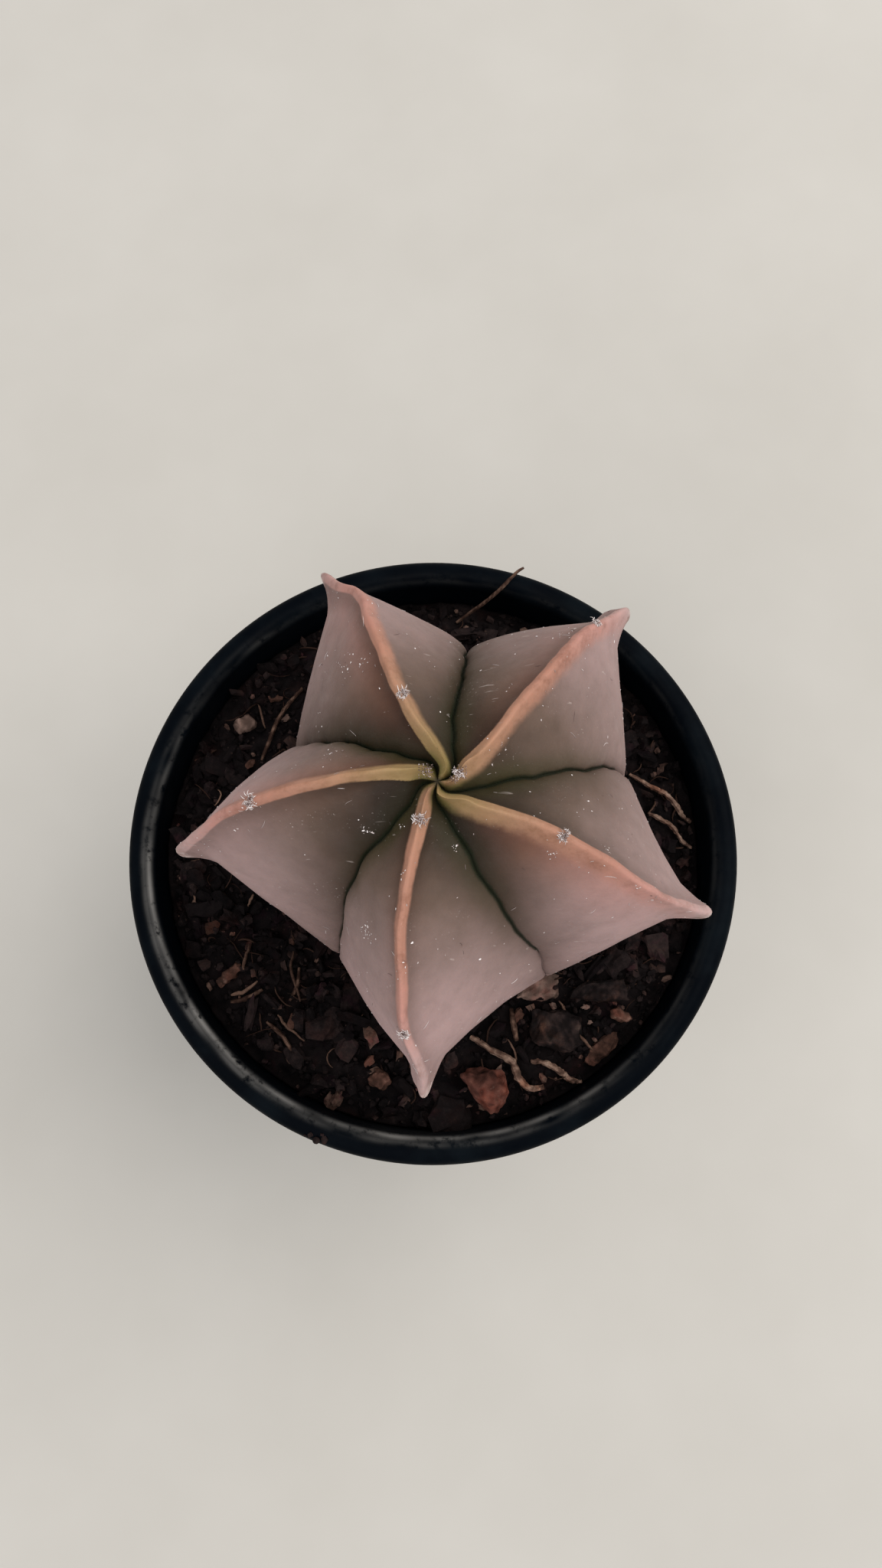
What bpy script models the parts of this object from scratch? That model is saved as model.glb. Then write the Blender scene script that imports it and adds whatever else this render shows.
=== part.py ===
"""A potted bishop's cap cactus: one five-ribbed plant in a black nursery pot of bark and coir.

Metres, +Z up. The origin is the middle of the pot's foot, on the surface that the pot stands on.
Azimuths are in degrees, counter-clockwise from +X.
"""
import math
import random

import bmesh
import bpy
import numpy as np
from mathutils import Matrix, Vector, noise

MM = 0.001
GAP = 0.3 * MM

# Pot
POT_RADIUS = 45.5 * MM
POT_HEIGHT = 74 * MM
LIP_ROLL = 2.05 * MM
WALL = 1.3 * MM
COLLAR_HEIGHT = 9 * MM
COLLAR_TAPER = 0.5 * MM
COLLAR_EDGE = 0.7 * MM
NECK_STEP = 0.4 * MM
NECK_DROP = 0.5 * MM
FLOOR_RADIUS = 31 * MM
FLOOR_TOP = 3 * MM
FLOOR_CORNER = 1.2 * MM
FOOT_HEIGHT = 1.6 * MM
FOOT_WIDTH = 3.4 * MM
FOOT_EDGE = 0.6 * MM
FOOT_TAPER = 0.5 * MM
DRAIN_RADIUS = 2.9 * MM
DRAIN_RING = 18 * MM
DRAIN_COUNT = 4
POT_STEPS = 64

# Soil
SOIL_LEVEL = POT_HEIGHT - 5 * MM
SOIL_STEPS = 48
SOIL_RINGS = 12
HEAP_RISE = 1.1 * MM
HEAP_PITCH = 0.09
LUMP_RISE = 0.55 * MM
LUMP_PITCH = 0.27
EDGE_SINK = 2.2 * MM
EDGE_WIDTH = 5 * MM
EDGE_RADIUS = 41 * MM
CHIP_COUNT = 46
CHIP_SEED = 11
MIX_CORNERS = 8
MIX_LIFT = 0.1 * MM
MIX_TILT = 16
MIX_WEAR = 0.55
PLANT_CLEARANCE = 24.5 * MM
STRAND_CLEARANCE = 1.2 * MM

# Plant
PLANT_AXIS = Vector((2.6, 4.2, 0)) * MM
PLANT_LEAN = Vector((-0.108, -0.185, 0))
TIP_LEVEL = POT_HEIGHT + 24 * MM
CREST_TOP = POT_HEIGHT + 44 * MM
VALLEY_TOP = POT_HEIGHT + 41 * MM
VALLEY_LEVEL = POT_HEIGHT + 14 * MM
CROWN_FLOOR = POT_HEIGHT + 40.9 * MM
CREST_START = 1.5 * MM
VALLEY_START = 0.9 * MM
CREST_POWER = 2.1
VALLEY_POWER = 1.7
SIDE_POWER = 2.1
CREST_FOOT = 0.6
VALLEY_FOOT = 0.74
ROOT_RADIUS = 7 * MM
ROOT_DEPTH = 22 * MM
HOLE_START = 1.6
KEEL_HEIGHT = 0.7 * MM
KEEL_WIDTH = 1.0 * MM
KEEL_ROUND = 0.7 * MM
NOSE_LENGTH = 2.8 * MM
NOSE_WIDTH = 1.0 * MM
NOSE_SPREAD = 4.5 * MM
SMALL_FLANK = 8 * MM
BROAD_FLANK = 20 * MM
CREASE_CLOSURE = 0.5
PLANT_RINGS = (15, 8, 3)

# Where a flank has its points: distances from the crest, each at most a share of it, then plain shares
FLANK_NEAR = ((0, 0), (0.8 * MM, 0.1), (1.8 * MM, 0.22))
FLANK_FAR = (0.36, 0.56, 0.76, 0.91, 1)

# Each rib: its tip's distance from the plant's axis in mm, the fullness of its clockwise and
# counter-clockwise flanks in mm, and its crest's azimuths at the stations (distances from the axis in mm).
# Each valley lies counter-clockwise of the rib in the same row: its reach and its cheeks' depth in mm.
STATIONS = (1.5, 3.5, 6, 12, 20, 28, 36)
RIBS = (
    (33.9, (0.6, 1.1), (-8, 27, 32, 42, 46, 47, 43)),
    (33.5, (0.8, 0.7), (38, 81, 100, 111, 112, 115, 135)),
    (36.3, (1.5, 0.3), (130, 157, 167, 179, 185, 189, 196)),
    (39.4, (0.9, -0.7), (238, 248, 251, 254, 258, 261, 265)),
    (36.8, (0.3, 0.3), (283, 323, 330, 336, 335, 332, 333)),
)
VALLEYS = (
    (19.7, 1.3, (14, 58, 74, 80, 84, 82, 82)),
    (21.3, 1.1, (92, 133, 147, 157, 166, 166, 166)),
    (25.2, 0.8, (190, 218, 223, 225, 231, 236, 236)),
    (26.5, 0.6, (262, 280, 288, 292, 295, 298, 298)),
    (22.9, 1.2, (310, 342, 355, 364, 366, 366, 366)),
)

# Woolly areoles on the crests: the rib's row and the distance from the axis in mm
AREOLES_ON_TOP = ((0, 2.8), (0, 28.0), (1, 10.9), (2, 22.0), (3, 4.7), (3, 29.6), (4, 15.8))
AREOLE_RADIUS = 1.1 * MM
AREOLE_THICKNESS = 0.6 * MM
AREOLES_BELOW = (0.22, 0.62)

# Loose chips: middle (x, y) and thickness, tilt in degrees, material and plan outline round the middle, in mm
CHIPS = {
    "clay_lump": ((7.8, -35.1), 5.0, 6, "clay",
                  ((-4.2, 2.4), (-2.2, 3.4), (0.9, 3.1), (3.0, 2.6), (3.5, 0.1), (2.9, -1.8), (1.6, -3.5),
                   (-0.4, -3.2), (-2.2, -1.1), (-3.0, 0.5))),
    "bark_chip_big": ((18.3, -26.9), 2.6, 8, "dark_bark",
                      ((-3.9, 3.2), (0.7, 3.4), (4.0, 2.2), (4.0, -1.8), (1.9, -3.4), (-1.7, -2.5),
                       (-4.1, -1.4))),
    "bark_chip_long": ((24.4, -21.1), 2.4, -7, "dark_bark",
                       ((-4.6, 0.3), (-1.7, 1.5), (4.2, 1.9), (4.6, -1.2), (1.5, -1.8), (-1.4, -1.5),
                        (-4.2, -1.1))),
    "bark_chip_pale": ((15.6, -20.0), 1.8, 10, "pale_bark",
                       ((-3.9, -2.3), (-2.5, -0.1), (3.1, 2.6), (3.8, 0.6), (3.2, -2.7), (-0.3, -2.7))),
    "bark_chip_smooth": ((24.9, -29.3), 2.2, -6, "red_bark",
                         ((-3.1, -2.4), (-2.2, -0.1), (1.2, 2.4), (2.8, 2.7), (3.0, 1.3), (1.1, -1.1),
                          (-1.2, -2.8))),
    "bark_chip_reddish": ((27.7, -24.5), 2.0, 8, "red_bark",
                          ((-2.0, 0.8), (-0.5, 1.3), (1.6, 0.3), (2.0, -0.9), (0.3, -1.3), (-1.4, -0.3))),
    "bark_chip_bar": ((-30.4, -18.6), 1.6, 5, "red_bark",
                      ((-2.3, -1.0), (-1.4, -2.1), (0.7, -0.5), (2.3, 1.0), (1.3, 2.1), (-0.7, 0.6))),
    "bark_chip_left": ((-29.4, 20.0), 1.8, 12, "pale_bark",
                       ((-2.0, -0.3), (-0.7, -1.7), (1.2, -1.1), (2.0, 0.3), (0.6, 1.8), (-1.1, 1.0))),
    "bark_chip_rust": ((-7.9, -33.8), 2.0, -8, "red_bark",
                       ((-1.9, 0.2), (-0.8, -1.0), (0.7, -1.8), (2.0, -0.2), (1.0, 1.1), (-0.6, 1.7))),
}
CHIP_LAYERS = ((0.5, 0.78), (0.05, 1.0), (-0.5, 0.74))
CHIP_UNEVEN = 0.12
CHIP_SINK = 0.22

# Twigs and coir strands on the soil: radius in mm, then route points (x, y, rise over the soil) in mm
STRANDS = {
    "twig_forked": (0.62, ((5.6, -27.6, 0.2), (8.7, -29.6, 0.9), (11.6, -31.2, 1.0), (12.4, -33.4, 0.8),
                           (14.2, -35.1, 0.7), (16.2, -34.8, 0.3))),
    "twig_lower": (0.55, ((14.4, -31.2, 0.4), (16.6, -31.4, 0.9), (18.8, -32.8, 0.9), (20.6, -34.0, 0.7),
                          (21.9, -34.0, 0.2))),
    "twig_right_upper": (0.5, ((30.2, 12.0, 0.3), (33.4, 10.0, 0.9), (35.6, 8.9, 0.8), (37.4, 7.0, 0.9),
                               (38.4, 5.6, 0.8), (39.7, 4.9, 0.5))),
    "twig_right_lower": (0.45, ((33.0, 5.9, 0.3), (35.0, 4.6, 0.8), (36.8, 3.4, 0.9), (37.9, 1.8, 0.7),
                                (39.6, 0.8, 0.4))),
    "strand_left": (0.36, ((-20.6, 25.8, 0.2), (-22.3, 23.5, 0.9), (-24.0, 20.8, 1.1), (-25.2, 17.8, 0.9),
                           (-26.6, 14.2, 0.2))),
    "strand_over_lip": (0.32, ((3.7, 36.6, 0.4), (6.2, 37.8, 3.2), (8.5, 38.9, 6.3), (10.8, 40.7, 8.3),
                               (12.7, 42.6, 8.5), (14.0, 43.6, 8.5))),
    "strand_low_left": (0.34, ((-24.6, -25.5, 0.2), (-22.1, -27.6, 0.8), (-20.4, -30.4, 0.2))),
    "strand_left_curved": (0.38, ((-30.0, -22.6, 0.2), (-27.8, -22.2, 0.8), (-25.4, -20.8, 0.2))),
    "strand_upright": (0.32, ((-20.0, -17.6, 0.2), (-20.1, -20.2, 0.8), (-21.2, -22.4, 0.2))),
    "strand_dark": (0.45, ((11.6, -23.6, 0.3), (11.9, -26.0, 0.9), (12.3, -28.2, 0.2))),
}
STRAND_STEPS = 2
STRAND_TAPER = 0.28

COLOURS = {
    "pot": ((0.010, 0.013, 0.017), 0.35),
    "soil": ((0.022, 0.014, 0.011), 0.95),
    "cactus": ((0.26, 0.175, 0.15), 0.6),
    "clay": ((0.13, 0.045, 0.03), 0.9),
    "dark_bark": ((0.03, 0.02, 0.016), 0.85),
    "pale_bark": ((0.14, 0.085, 0.065), 0.85),
    "red_bark": ((0.07, 0.03, 0.02), 0.85),
    "twig": ((0.16, 0.095, 0.07), 0.8),
    "coir": ((0.12, 0.06, 0.035), 0.8),
}


def clear_scene():
    """Removes what the new file starts with."""
    for obj in list(bpy.data.objects):
        bpy.data.objects.remove(obj, do_unlink=True)


def material(name):
    """The named material, made on its first use."""
    if name in bpy.data.materials:
        return bpy.data.materials[name]
    colour, roughness = COLOURS[name]
    made = bpy.data.materials.new(name)
    made.use_nodes = True
    shader = made.node_tree.nodes["Principled BSDF"]
    shader.inputs["Base Color"].default_value = (*colour, 1)
    shader.inputs["Roughness"].default_value = roughness
    shader.inputs["Metallic"].default_value = 0
    return made


def add_object(name, data, collection, material_name=None):
    """Links a new object, with its material if it is a part and hidden as a wire if it is a cutter."""
    obj = bpy.data.objects.new(name, data)
    collection.objects.link(obj)
    if material_name:
        data.materials.append(material(material_name))
    else:
        obj.hide_render = True
        obj.display_type = "WIRE"
    return obj


def mesh_from_bmesh(name, bm):
    """Turns a bmesh into mesh data with its faces pointing out."""
    bmesh.ops.recalc_face_normals(bm, faces=bm.faces[:])
    mesh = bpy.data.meshes.new(name)
    bm.to_mesh(mesh)
    bm.free()
    mesh.shade_smooth()
    return mesh


def add_boolean(obj, operation, collection):
    """Adds a Boolean with a whole collection."""
    modifier = obj.modifiers.new(operation.lower(), "BOOLEAN")
    modifier.operation = operation
    modifier.operand_type = "COLLECTION"
    modifier.collection = collection
    modifier.solver = "EXACT"
    return modifier


def apply_modifiers(obj):
    """Replaces the object's mesh by its evaluated one."""
    bpy.context.view_layer.update()
    evaluated = obj.evaluated_get(bpy.context.evaluated_depsgraph_get())
    mesh = bpy.data.meshes.new_from_object(evaluated)
    obj.modifiers.clear()
    obj.data = mesh
    return obj


def keep_largest_piece(obj):
    """Drops the loose scraps that a cut leaves beside the main body."""
    bm = bmesh.new()
    bm.from_mesh(obj.data)
    left = set(bm.verts)
    pieces = []
    while left:
        stack = [left.pop()]
        piece = []
        while stack:
            vert = stack.pop()
            piece.append(vert)
            for edge in vert.link_edges:
                other = edge.other_vert(vert)
                if other in left:
                    left.remove(other)
                    stack.append(other)
        pieces.append(piece)
    pieces.sort(key=len)
    scraps = [vert for piece in pieces[:-1] for vert in piece]
    bmesh.ops.delete(bm, geom=scraps, context="VERTS")
    bm.to_mesh(obj.data)
    bm.free()


def remove_collection(collection):
    """Removes a collection with its objects."""
    for obj in list(collection.objects):
        bpy.data.objects.remove(obj, do_unlink=True)
    bpy.data.collections.remove(collection)


def new_collection(name):
    """A new collection in the scene."""
    collection = bpy.data.collections.new(name)
    bpy.context.scene.collection.children.link(collection)
    return collection


def arc(middle_r, middle_z, radius, start, end, steps):
    """Points (r, z) along an arc of the profile, angles in degrees."""
    angles = [math.radians(start + (end - start) * i / steps) for i in range(steps + 1)]
    return [(middle_r + radius * math.cos(a), middle_z + radius * math.sin(a)) for a in angles]


def pot_inner_radius(height):
    """Radius of the pot's inside at a height."""
    lip = (POT_RADIUS - 2 * LIP_ROLL, POT_HEIGHT - LIP_ROLL)
    neck = (lip[0] - NECK_STEP, POT_HEIGHT - COLLAR_HEIGHT - WALL)
    floor = (FLOOR_RADIUS, FLOOR_TOP)
    heights = [floor[1], neck[1], lip[1]]
    return float(np.interp(height, heights, [floor[0], neck[0], lip[0]]))


def pot_profile():
    """Half outline of the pot: from the floor's middle up the inside, over the lip, down and under."""
    neck_z = POT_HEIGHT - COLLAR_HEIGHT - WALL
    collar_r = POT_RADIUS - COLLAR_TAPER
    collar_z = POT_HEIGHT - COLLAR_HEIGHT
    wall_top_r = pot_inner_radius(neck_z) + WALL
    foot_r = FLOOR_RADIUS + WALL * 0.6
    corner_z = FLOOR_TOP + FLOOR_CORNER
    points = [(0, FLOOR_TOP), (FLOOR_RADIUS - FLOOR_CORNER, FLOOR_TOP)]
    points += [(pot_inner_radius(corner_z), corner_z), (pot_inner_radius(neck_z), neck_z)]
    points += arc(POT_RADIUS - LIP_ROLL, POT_HEIGHT - LIP_ROLL, LIP_ROLL, 180, 0, 8)
    points += arc(collar_r - COLLAR_EDGE, collar_z + COLLAR_EDGE, COLLAR_EDGE, 0, -90, 2)
    points += [(wall_top_r + NECK_STEP, collar_z), (wall_top_r, collar_z - NECK_DROP)]
    points += [(FLOOR_RADIUS + WALL, FLOOR_TOP)]
    points += arc(foot_r - FOOT_EDGE, FOOT_EDGE, FOOT_EDGE, 0, -90, 2)
    points += [(foot_r - FOOT_WIDTH, 0), (foot_r - FOOT_WIDTH - FOOT_TAPER, FOOT_HEIGHT), (0, FOOT_HEIGHT)]
    return points


def make_pot(parts, cutters):
    """The nursery pot: a turned shell with drain holes through its floor."""
    bm = bmesh.new()
    verts = [bm.verts.new((r, 0, z)) for r, z in pot_profile()]
    for a, b in zip(verts, verts[1:]):
        bm.edges.new((a, b))
    mesh = bpy.data.meshes.new("pot")
    bm.to_mesh(mesh)
    bm.free()
    pot = add_object("pot", mesh, parts, "pot")
    screw = pot.modifiers.new("turn", "SCREW")
    screw.axis = "Z"
    screw.steps = POT_STEPS
    screw.render_steps = POT_STEPS
    screw.use_merge_vertices = True
    screw.merge_threshold = 0.01 * MM
    screw.use_smooth_shade = True
    for i in range(DRAIN_COUNT):
        angle = math.tau * (i + 0.5) / DRAIN_COUNT
        place = Vector((DRAIN_RING * math.cos(angle), DRAIN_RING * math.sin(angle), FLOOR_TOP / 2))
        bpy.ops.mesh.primitive_cylinder_add(vertices=20, radius=DRAIN_RADIUS, depth=4 * FLOOR_TOP,
                                            location=place)
        hole = bpy.context.object
        hole.name = "drain_hole_%d" % (i + 1)
        for owner in list(hole.users_collection):
            owner.objects.unlink(hole)
        cutters.objects.link(hole)
        hole.hide_render = True
        hole.display_type = "WIRE"
    add_boolean(pot, "DIFFERENCE", cutters)
    return pot


def curve_through(x, xs, ys):
    """Smooth values through the points (xs, ys), level beyond both ends."""
    xs = np.asarray(xs, float)
    ys = np.asarray(ys, float)
    slopes = np.gradient(ys, xs)
    x = np.clip(np.asarray(x, float), xs[0], xs[-1])
    i = np.clip(np.searchsorted(xs, x) - 1, 0, len(xs) - 2)
    width = xs[i + 1] - xs[i]
    t = (x - xs[i]) / width
    start = (1 + 2 * t) * (1 - t) ** 2 * ys[i] + t * (1 - t) ** 2 * width * slopes[i]
    end = t * t * (3 - 2 * t) * ys[i + 1] + t * t * (t - 1) * width * slopes[i + 1]
    return start + end


def eased(count):
    """Shares from 0 to 1, closer together at both ends."""
    return [0.5 - 0.5 * math.cos(math.pi * i / count) for i in range(count + 1)]


def ring_stations(top, side, root):
    """Where the plant's rings lie: 0 at the crown, 1 at the tips, 2 at the soil, 3 at the root's end."""
    upper = eased(top)
    middle = [1 + i / side for i in range(1, side + 1)]
    lower = [2 + i / root for i in range(1, root + 1)]
    return np.array(upper + middle + lower)


def meridian(stations, reach, start, level, top, power, foot):
    """Distance from the axis and height along a crest or a valley, from the crown to the root."""
    share = np.sin(np.clip(stations, 0, 1) * math.pi / 2) ** (2 / CREST_POWER)
    side = np.clip(stations - 1, 0, 1)
    root = np.clip(stations - 2, 0, 1)
    radius = start + (reach - start) * share
    radius = radius * (1 - (1 - foot) * side ** SIDE_POWER)
    radius = radius + (ROOT_RADIUS - foot * reach) * root * root * (3 - 2 * root)
    height = level + (top - level) * np.maximum(1 - share ** power, 0) ** (1 / power)
    height = height + (SOIL_LEVEL - level) * side - ROOT_DEPTH * root
    return radius, height


def line_in_space(radius, height, azimuths):
    """Points of a crest or a valley, round the plant's leaning axis."""
    azimuth = np.radians(curve_through(radius / MM, STATIONS, azimuths))
    lean = np.maximum(height - TIP_LEVEL, 0)[:, None] * np.array(PLANT_LEAN)
    flat = np.stack([radius * np.cos(azimuth), radius * np.sin(azimuth), height], axis=1)
    return flat + lean + np.array(PLANT_AXIS)


def outward(radius, height, points):
    """Directions that point straight out of a crest, in the plane of the axis."""
    along_r = np.gradient(radius)
    along_z = np.gradient(height)
    middle = np.array(PLANT_AXIS) + np.maximum(height - TIP_LEVEL, 0)[:, None] * np.array(PLANT_LEAN)
    away = points - middle
    away[:, 2] = 0
    away /= np.linalg.norm(away, axis=1)[:, None]
    out = away * (-along_z)[:, None]
    out[:, 2] += along_r
    return out / np.linalg.norm(out, axis=1)[:, None]


def unit(vectors):
    """Vectors of length one."""
    return vectors / np.maximum(np.linalg.norm(vectors, axis=-1, keepdims=True), 1e-9)


def crease_slope(valley, before, after):
    """How steeply a cheek may rise from a valley so that the two cheeks nearly touch, along each flank."""
    along = unit(np.gradient(valley, axis=0))
    spans = [before - valley, after - valley]
    across = [span - along * np.sum(span * along, axis=1)[:, None] for span in spans]
    cosine = np.sum(unit(across[0]) * unit(across[1]), axis=1)
    steepness = CREASE_CLOSURE * np.tan(np.arccos(np.clip(cosine, -0.95, 0.99)) / 2)
    return [steepness * np.linalg.norm(a, axis=1) / np.linalg.norm(s, axis=1) for a, s in zip(across, spans)]


def flank(crest, valley, out, side, fullness, cheek, slope, stations):
    """Points from a crest to a valley on every ring: the keel, the flank and a full cheek at the crease."""
    span = valley - crest
    length = np.linalg.norm(span, axis=1)
    steps = [np.minimum(distance, share * length) for distance, share in FLANK_NEAR]
    steps += [share * length for share in FLANK_FAR]
    distance = np.stack(steps, axis=1)
    share = distance / length[:, None]
    fit = np.minimum(length / SMALL_FLANK, 1)[:, None]
    below = np.clip(stations - 1, 0, 1)[:, None]
    nose = np.exp(-((crest[:, 2] - TIP_LEVEL) / NOSE_SPREAD) ** 2)[:, None]
    width = KEEL_WIDTH + NOSE_WIDTH * nose
    rise = (KEEL_HEIGHT + NOSE_LENGTH * nose) * np.exp(-(distance / width) ** 2)
    rounding = KEEL_ROUND * (np.sqrt((distance / KEEL_WIDTH) ** 2 + 1) - distance / KEEL_WIDTH)
    keel = (rise - rounding) * fit * np.clip(3 - 1.5 * stations, 0, 1)[:, None]
    depth = cheek * (1 - below) + 0.01 * MM
    climb = slope[:, None] * (length[:, None] - distance)
    full = depth * (1 - np.exp(-climb / depth)) * share ** 2
    full = full + fullness * np.minimum(length / BROAD_FLANK, 1)[:, None] ** 2 * 4 * share * (1 - share)
    downhill = np.gradient((crest + valley) / 2, axis=0)
    normal = unit(np.cross(downhill, span)) * side
    points = crest[:, None, :] + span[:, None, :] * share[:, :, None]
    return points + out[:, None, :] * keel[:, :, None] + normal[:, None, :] * full[:, :, None]


def plant_lines(stations):
    """Crests with their outward directions, and valleys, on all ring stations."""
    crests = []
    valleys = []
    for reach, _, azimuths in RIBS:
        inner = reach * MM - NOSE_LENGTH - KEEL_HEIGHT + KEEL_ROUND
        radius, height = meridian(stations, inner, CREST_START, TIP_LEVEL, CREST_TOP, CREST_POWER, CREST_FOOT)
        points = line_in_space(radius, height, azimuths)
        crests.append((points, outward(radius, height, points)))
    for reach, _, azimuths in VALLEYS:
        radius, height = meridian(stations, reach * MM, VALLEY_START, VALLEY_LEVEL, VALLEY_TOP, VALLEY_POWER,
                                  VALLEY_FOOT)
        valleys.append(line_in_space(radius, height, azimuths))
    return crests, valleys


def plant_rings(stations):
    """Every ring of the plant, counter-clockwise, as an array (rings, points, 3)."""
    crests, valleys = plant_lines(stations)
    strips = []
    slopes = [crease_slope(valley, crests[i][0], crests[(i + 1) % len(crests)][0])
              for i, valley in enumerate(valleys)]
    for i, (crest, out) in enumerate(crests):
        fullness = RIBS[i][1]
        before = flank(crest, valleys[i - 1], out, -1, fullness[0] * MM, VALLEYS[i - 1][1] * MM,
                       slopes[i - 1][1], stations)
        after = flank(crest, valleys[i], out, 1, fullness[1] * MM, VALLEYS[i][1] * MM, slopes[i][0], stations)
        strips.append(before[:, -2:0:-1])
        strips.append(after)
    return np.concatenate(strips, axis=1)


def skin(rings, top, bottom):
    """A closed skin over rings that run from top to bottom, with a point at each end."""
    bm = bmesh.new()
    rows = [[bm.verts.new(point) for point in ring] for ring in rings]
    count = len(rows[0])
    first = bm.verts.new(top)
    last = bm.verts.new(bottom)
    for j in range(count):
        k = (j + 1) % count
        bm.faces.new((first, rows[0][j], rows[0][k]))
        bm.faces.new((last, rows[-1][k], rows[-1][j]))
        for upper, lower in zip(rows, rows[1:]):
            bm.faces.new((upper[j], lower[j], lower[k], upper[k]))
    return bm


def crown_point():
    """The bottom of the small sunken crown."""
    return PLANT_AXIS + PLANT_LEAN * (CROWN_FLOOR - TIP_LEVEL) + Vector((0, 0, CROWN_FLOOR))


def root_point():
    """The lowest point of the root."""
    return PLANT_AXIS + Vector((0, 0, SOIL_LEVEL - ROOT_DEPTH - 1 * MM))


def crest_radius(rib, stations):
    """Distance of a crest from the axis at some stations."""
    reach = RIBS[rib][0] * MM - NOSE_LENGTH
    return meridian(stations, reach, CREST_START, TIP_LEVEL, CREST_TOP, CREST_POWER, CREST_FOOT)[0]


def areole_stations():
    """Each areole's rib and ring station: those seen on top, and two on every rib's side."""
    fine = np.linspace(0, 1, 400)
    found = []
    for rib, distance in AREOLES_ON_TOP:
        found.append((rib, float(np.interp(distance * MM, crest_radius(rib, fine), fine))))
    for rib in range(len(RIBS)):
        found += [(rib, 1 + share) for share in AREOLES_BELOW]
    return found


def add_areoles(cactus):
    """Joins the woolly cushions to the crests."""
    cushions = new_collection("cushions")
    for rib, station in areole_stations():
        three = np.array([station - 0.01, station, station + 0.01])
        crest, out = plant_lines(three)[0][rib]
        direction = Vector(out[1])
        along = Vector(crest[2] - crest[0]).normalized()
        across = direction.cross(along).normalized()
        turn = Matrix((along, across, direction)).transposed().to_4x4()
        size = Matrix.Diagonal((AREOLE_RADIUS, AREOLE_RADIUS, AREOLE_THICKNESS, 1))
        place = Matrix.Translation(Vector(crest[1]) + direction * (KEEL_HEIGHT - KEEL_ROUND))
        bm = bmesh.new()
        bmesh.ops.create_uvsphere(bm, u_segments=7, v_segments=4, radius=1, matrix=place @ turn @ size)
        add_object("cushion", mesh_from_bmesh("cushion", bm), cushions)
    add_boolean(cactus, "UNION", cushions)
    apply_modifiers(cactus)
    remove_collection(cushions)


def make_cactus(parts):
    """The plant: one body from its crown to its root, with its areoles."""
    rings = plant_rings(ring_stations(*PLANT_RINGS))
    bm = skin(rings, crown_point(), root_point())
    cactus = add_object("cactus", mesh_from_bmesh("cactus", bm), parts, "cactus")
    add_areoles(cactus)
    return cactus


def root_hole(pockets):
    """The hole in the soil: the plant's lower part, grown by the gap."""
    stations = ring_stations(*PLANT_RINGS)
    rings = plant_rings(stations)[stations > HOLE_START]
    away = rings - np.array(PLANT_AXIS)
    away[:, :, 2] = 0
    rings = rings + unit(away) * GAP * 1.3
    roof = PLANT_AXIS + Vector((0, 0, float(rings[0, :, 2].max())))
    bm = skin(rings, roof, root_point() - Vector((0, 0, 2 * GAP)))
    return add_object("root_hole", mesh_from_bmesh("root_hole", bm), pockets)


def soil_height(x, y):
    """Height of the bare soil, with soft heaps and small lumps, sunk along the wall."""
    place = Vector((x, y, 0)) / MM
    heaps = noise.noise(place * HEAP_PITCH + Vector((3.1, 7.7, 0)))
    lumps = noise.noise(place * LUMP_PITCH + Vector((9.2, 1.4, 5.0)))
    near = min(max((math.hypot(x, y) - EDGE_RADIUS) / EDGE_WIDTH + 1, 0), 1)
    return SOIL_LEVEL + HEAP_RISE * heaps + LUMP_RISE * lumps - EDGE_SINK * near * near * (3 - 2 * near)


def soil_body(parts):
    """The soil's block: a rough top, a side that follows the pot and a flat bottom on its floor."""
    outer = pot_inner_radius(SOIL_LEVEL - EDGE_SINK - HEAP_RISE) - GAP
    angles = [math.tau * j / SOIL_STEPS for j in range(SOIL_STEPS)]
    rings = []
    for i in range(1, SOIL_RINGS + 1):
        radius = outer * i / SOIL_RINGS
        ring = [(radius * math.cos(a), radius * math.sin(a)) for a in angles]
        rings.append([(x, y, soil_height(x, y)) for x, y in ring])
    bottom_z = FLOOR_TOP + GAP
    bottom_r = FLOOR_RADIUS - FLOOR_CORNER - GAP
    side_z = FLOOR_TOP + 4 * FLOOR_CORNER
    for radius, height in ((pot_inner_radius(side_z) - GAP, side_z), (bottom_r, bottom_z)):
        rings.append([(radius * math.cos(a), radius * math.sin(a), height) for a in angles])
    bm = skin(rings, (0, 0, soil_height(0, 0)), (0, 0, bottom_z))
    return add_object("soil", mesh_from_bmesh("soil", bm), parts, "soil")


def hull(points, grow=0.0):
    """The hull of points, moved out by some distance."""
    bm = bmesh.new()
    for point in points:
        bm.verts.new(point)
    bmesh.ops.convex_hull(bm, input=bm.verts[:])
    bmesh.ops.delete(bm, geom=[v for v in bm.verts if not v.link_faces], context="VERTS")
    bmesh.ops.recalc_face_normals(bm, faces=bm.faces[:])
    if grow:
        bm.normal_update()
        moves = [(v, v.normal * grow) for v in bm.verts]
        for vert, move in moves:
            vert.co += move
    return bm


def chunk(rng, size, corners):
    """Points of a rough block, spread towards the corners of a box."""
    half = Vector(size) / 2
    points = []
    for i in range(corners):
        signs = (1 if i & 1 else -1, 1 if i & 2 else -1, 1 if i & 4 else -1)
        share = [rng.uniform(MIX_WEAR, 1.0) for _ in range(3)]
        points.append([sign * s * h for sign, s, h in zip(signs, share, half)])
    return points


def slab(rng, outline, thickness):
    """Points of a chip: its plan outline in three uneven layers."""
    points = []
    for level, share in CHIP_LAYERS:
        for x, y in outline:
            size = share * (1 - rng.uniform(0, CHIP_UNEVEN))
            height = thickness * level * (1 - rng.uniform(0, 3 * CHIP_UNEVEN))
            points.append((x * MM * size, y * MM * size, height * MM))
    return points


def chip_frame(x, y, z, azimuth, tilt):
    """Places a chip: turned on the ground, then tipped along its length."""
    turn = Matrix.Rotation(math.radians(azimuth), 4, "Z") @ Matrix.Rotation(math.radians(tilt), 4, "Y")
    return Matrix.Translation((x, y, z)) @ turn


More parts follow.
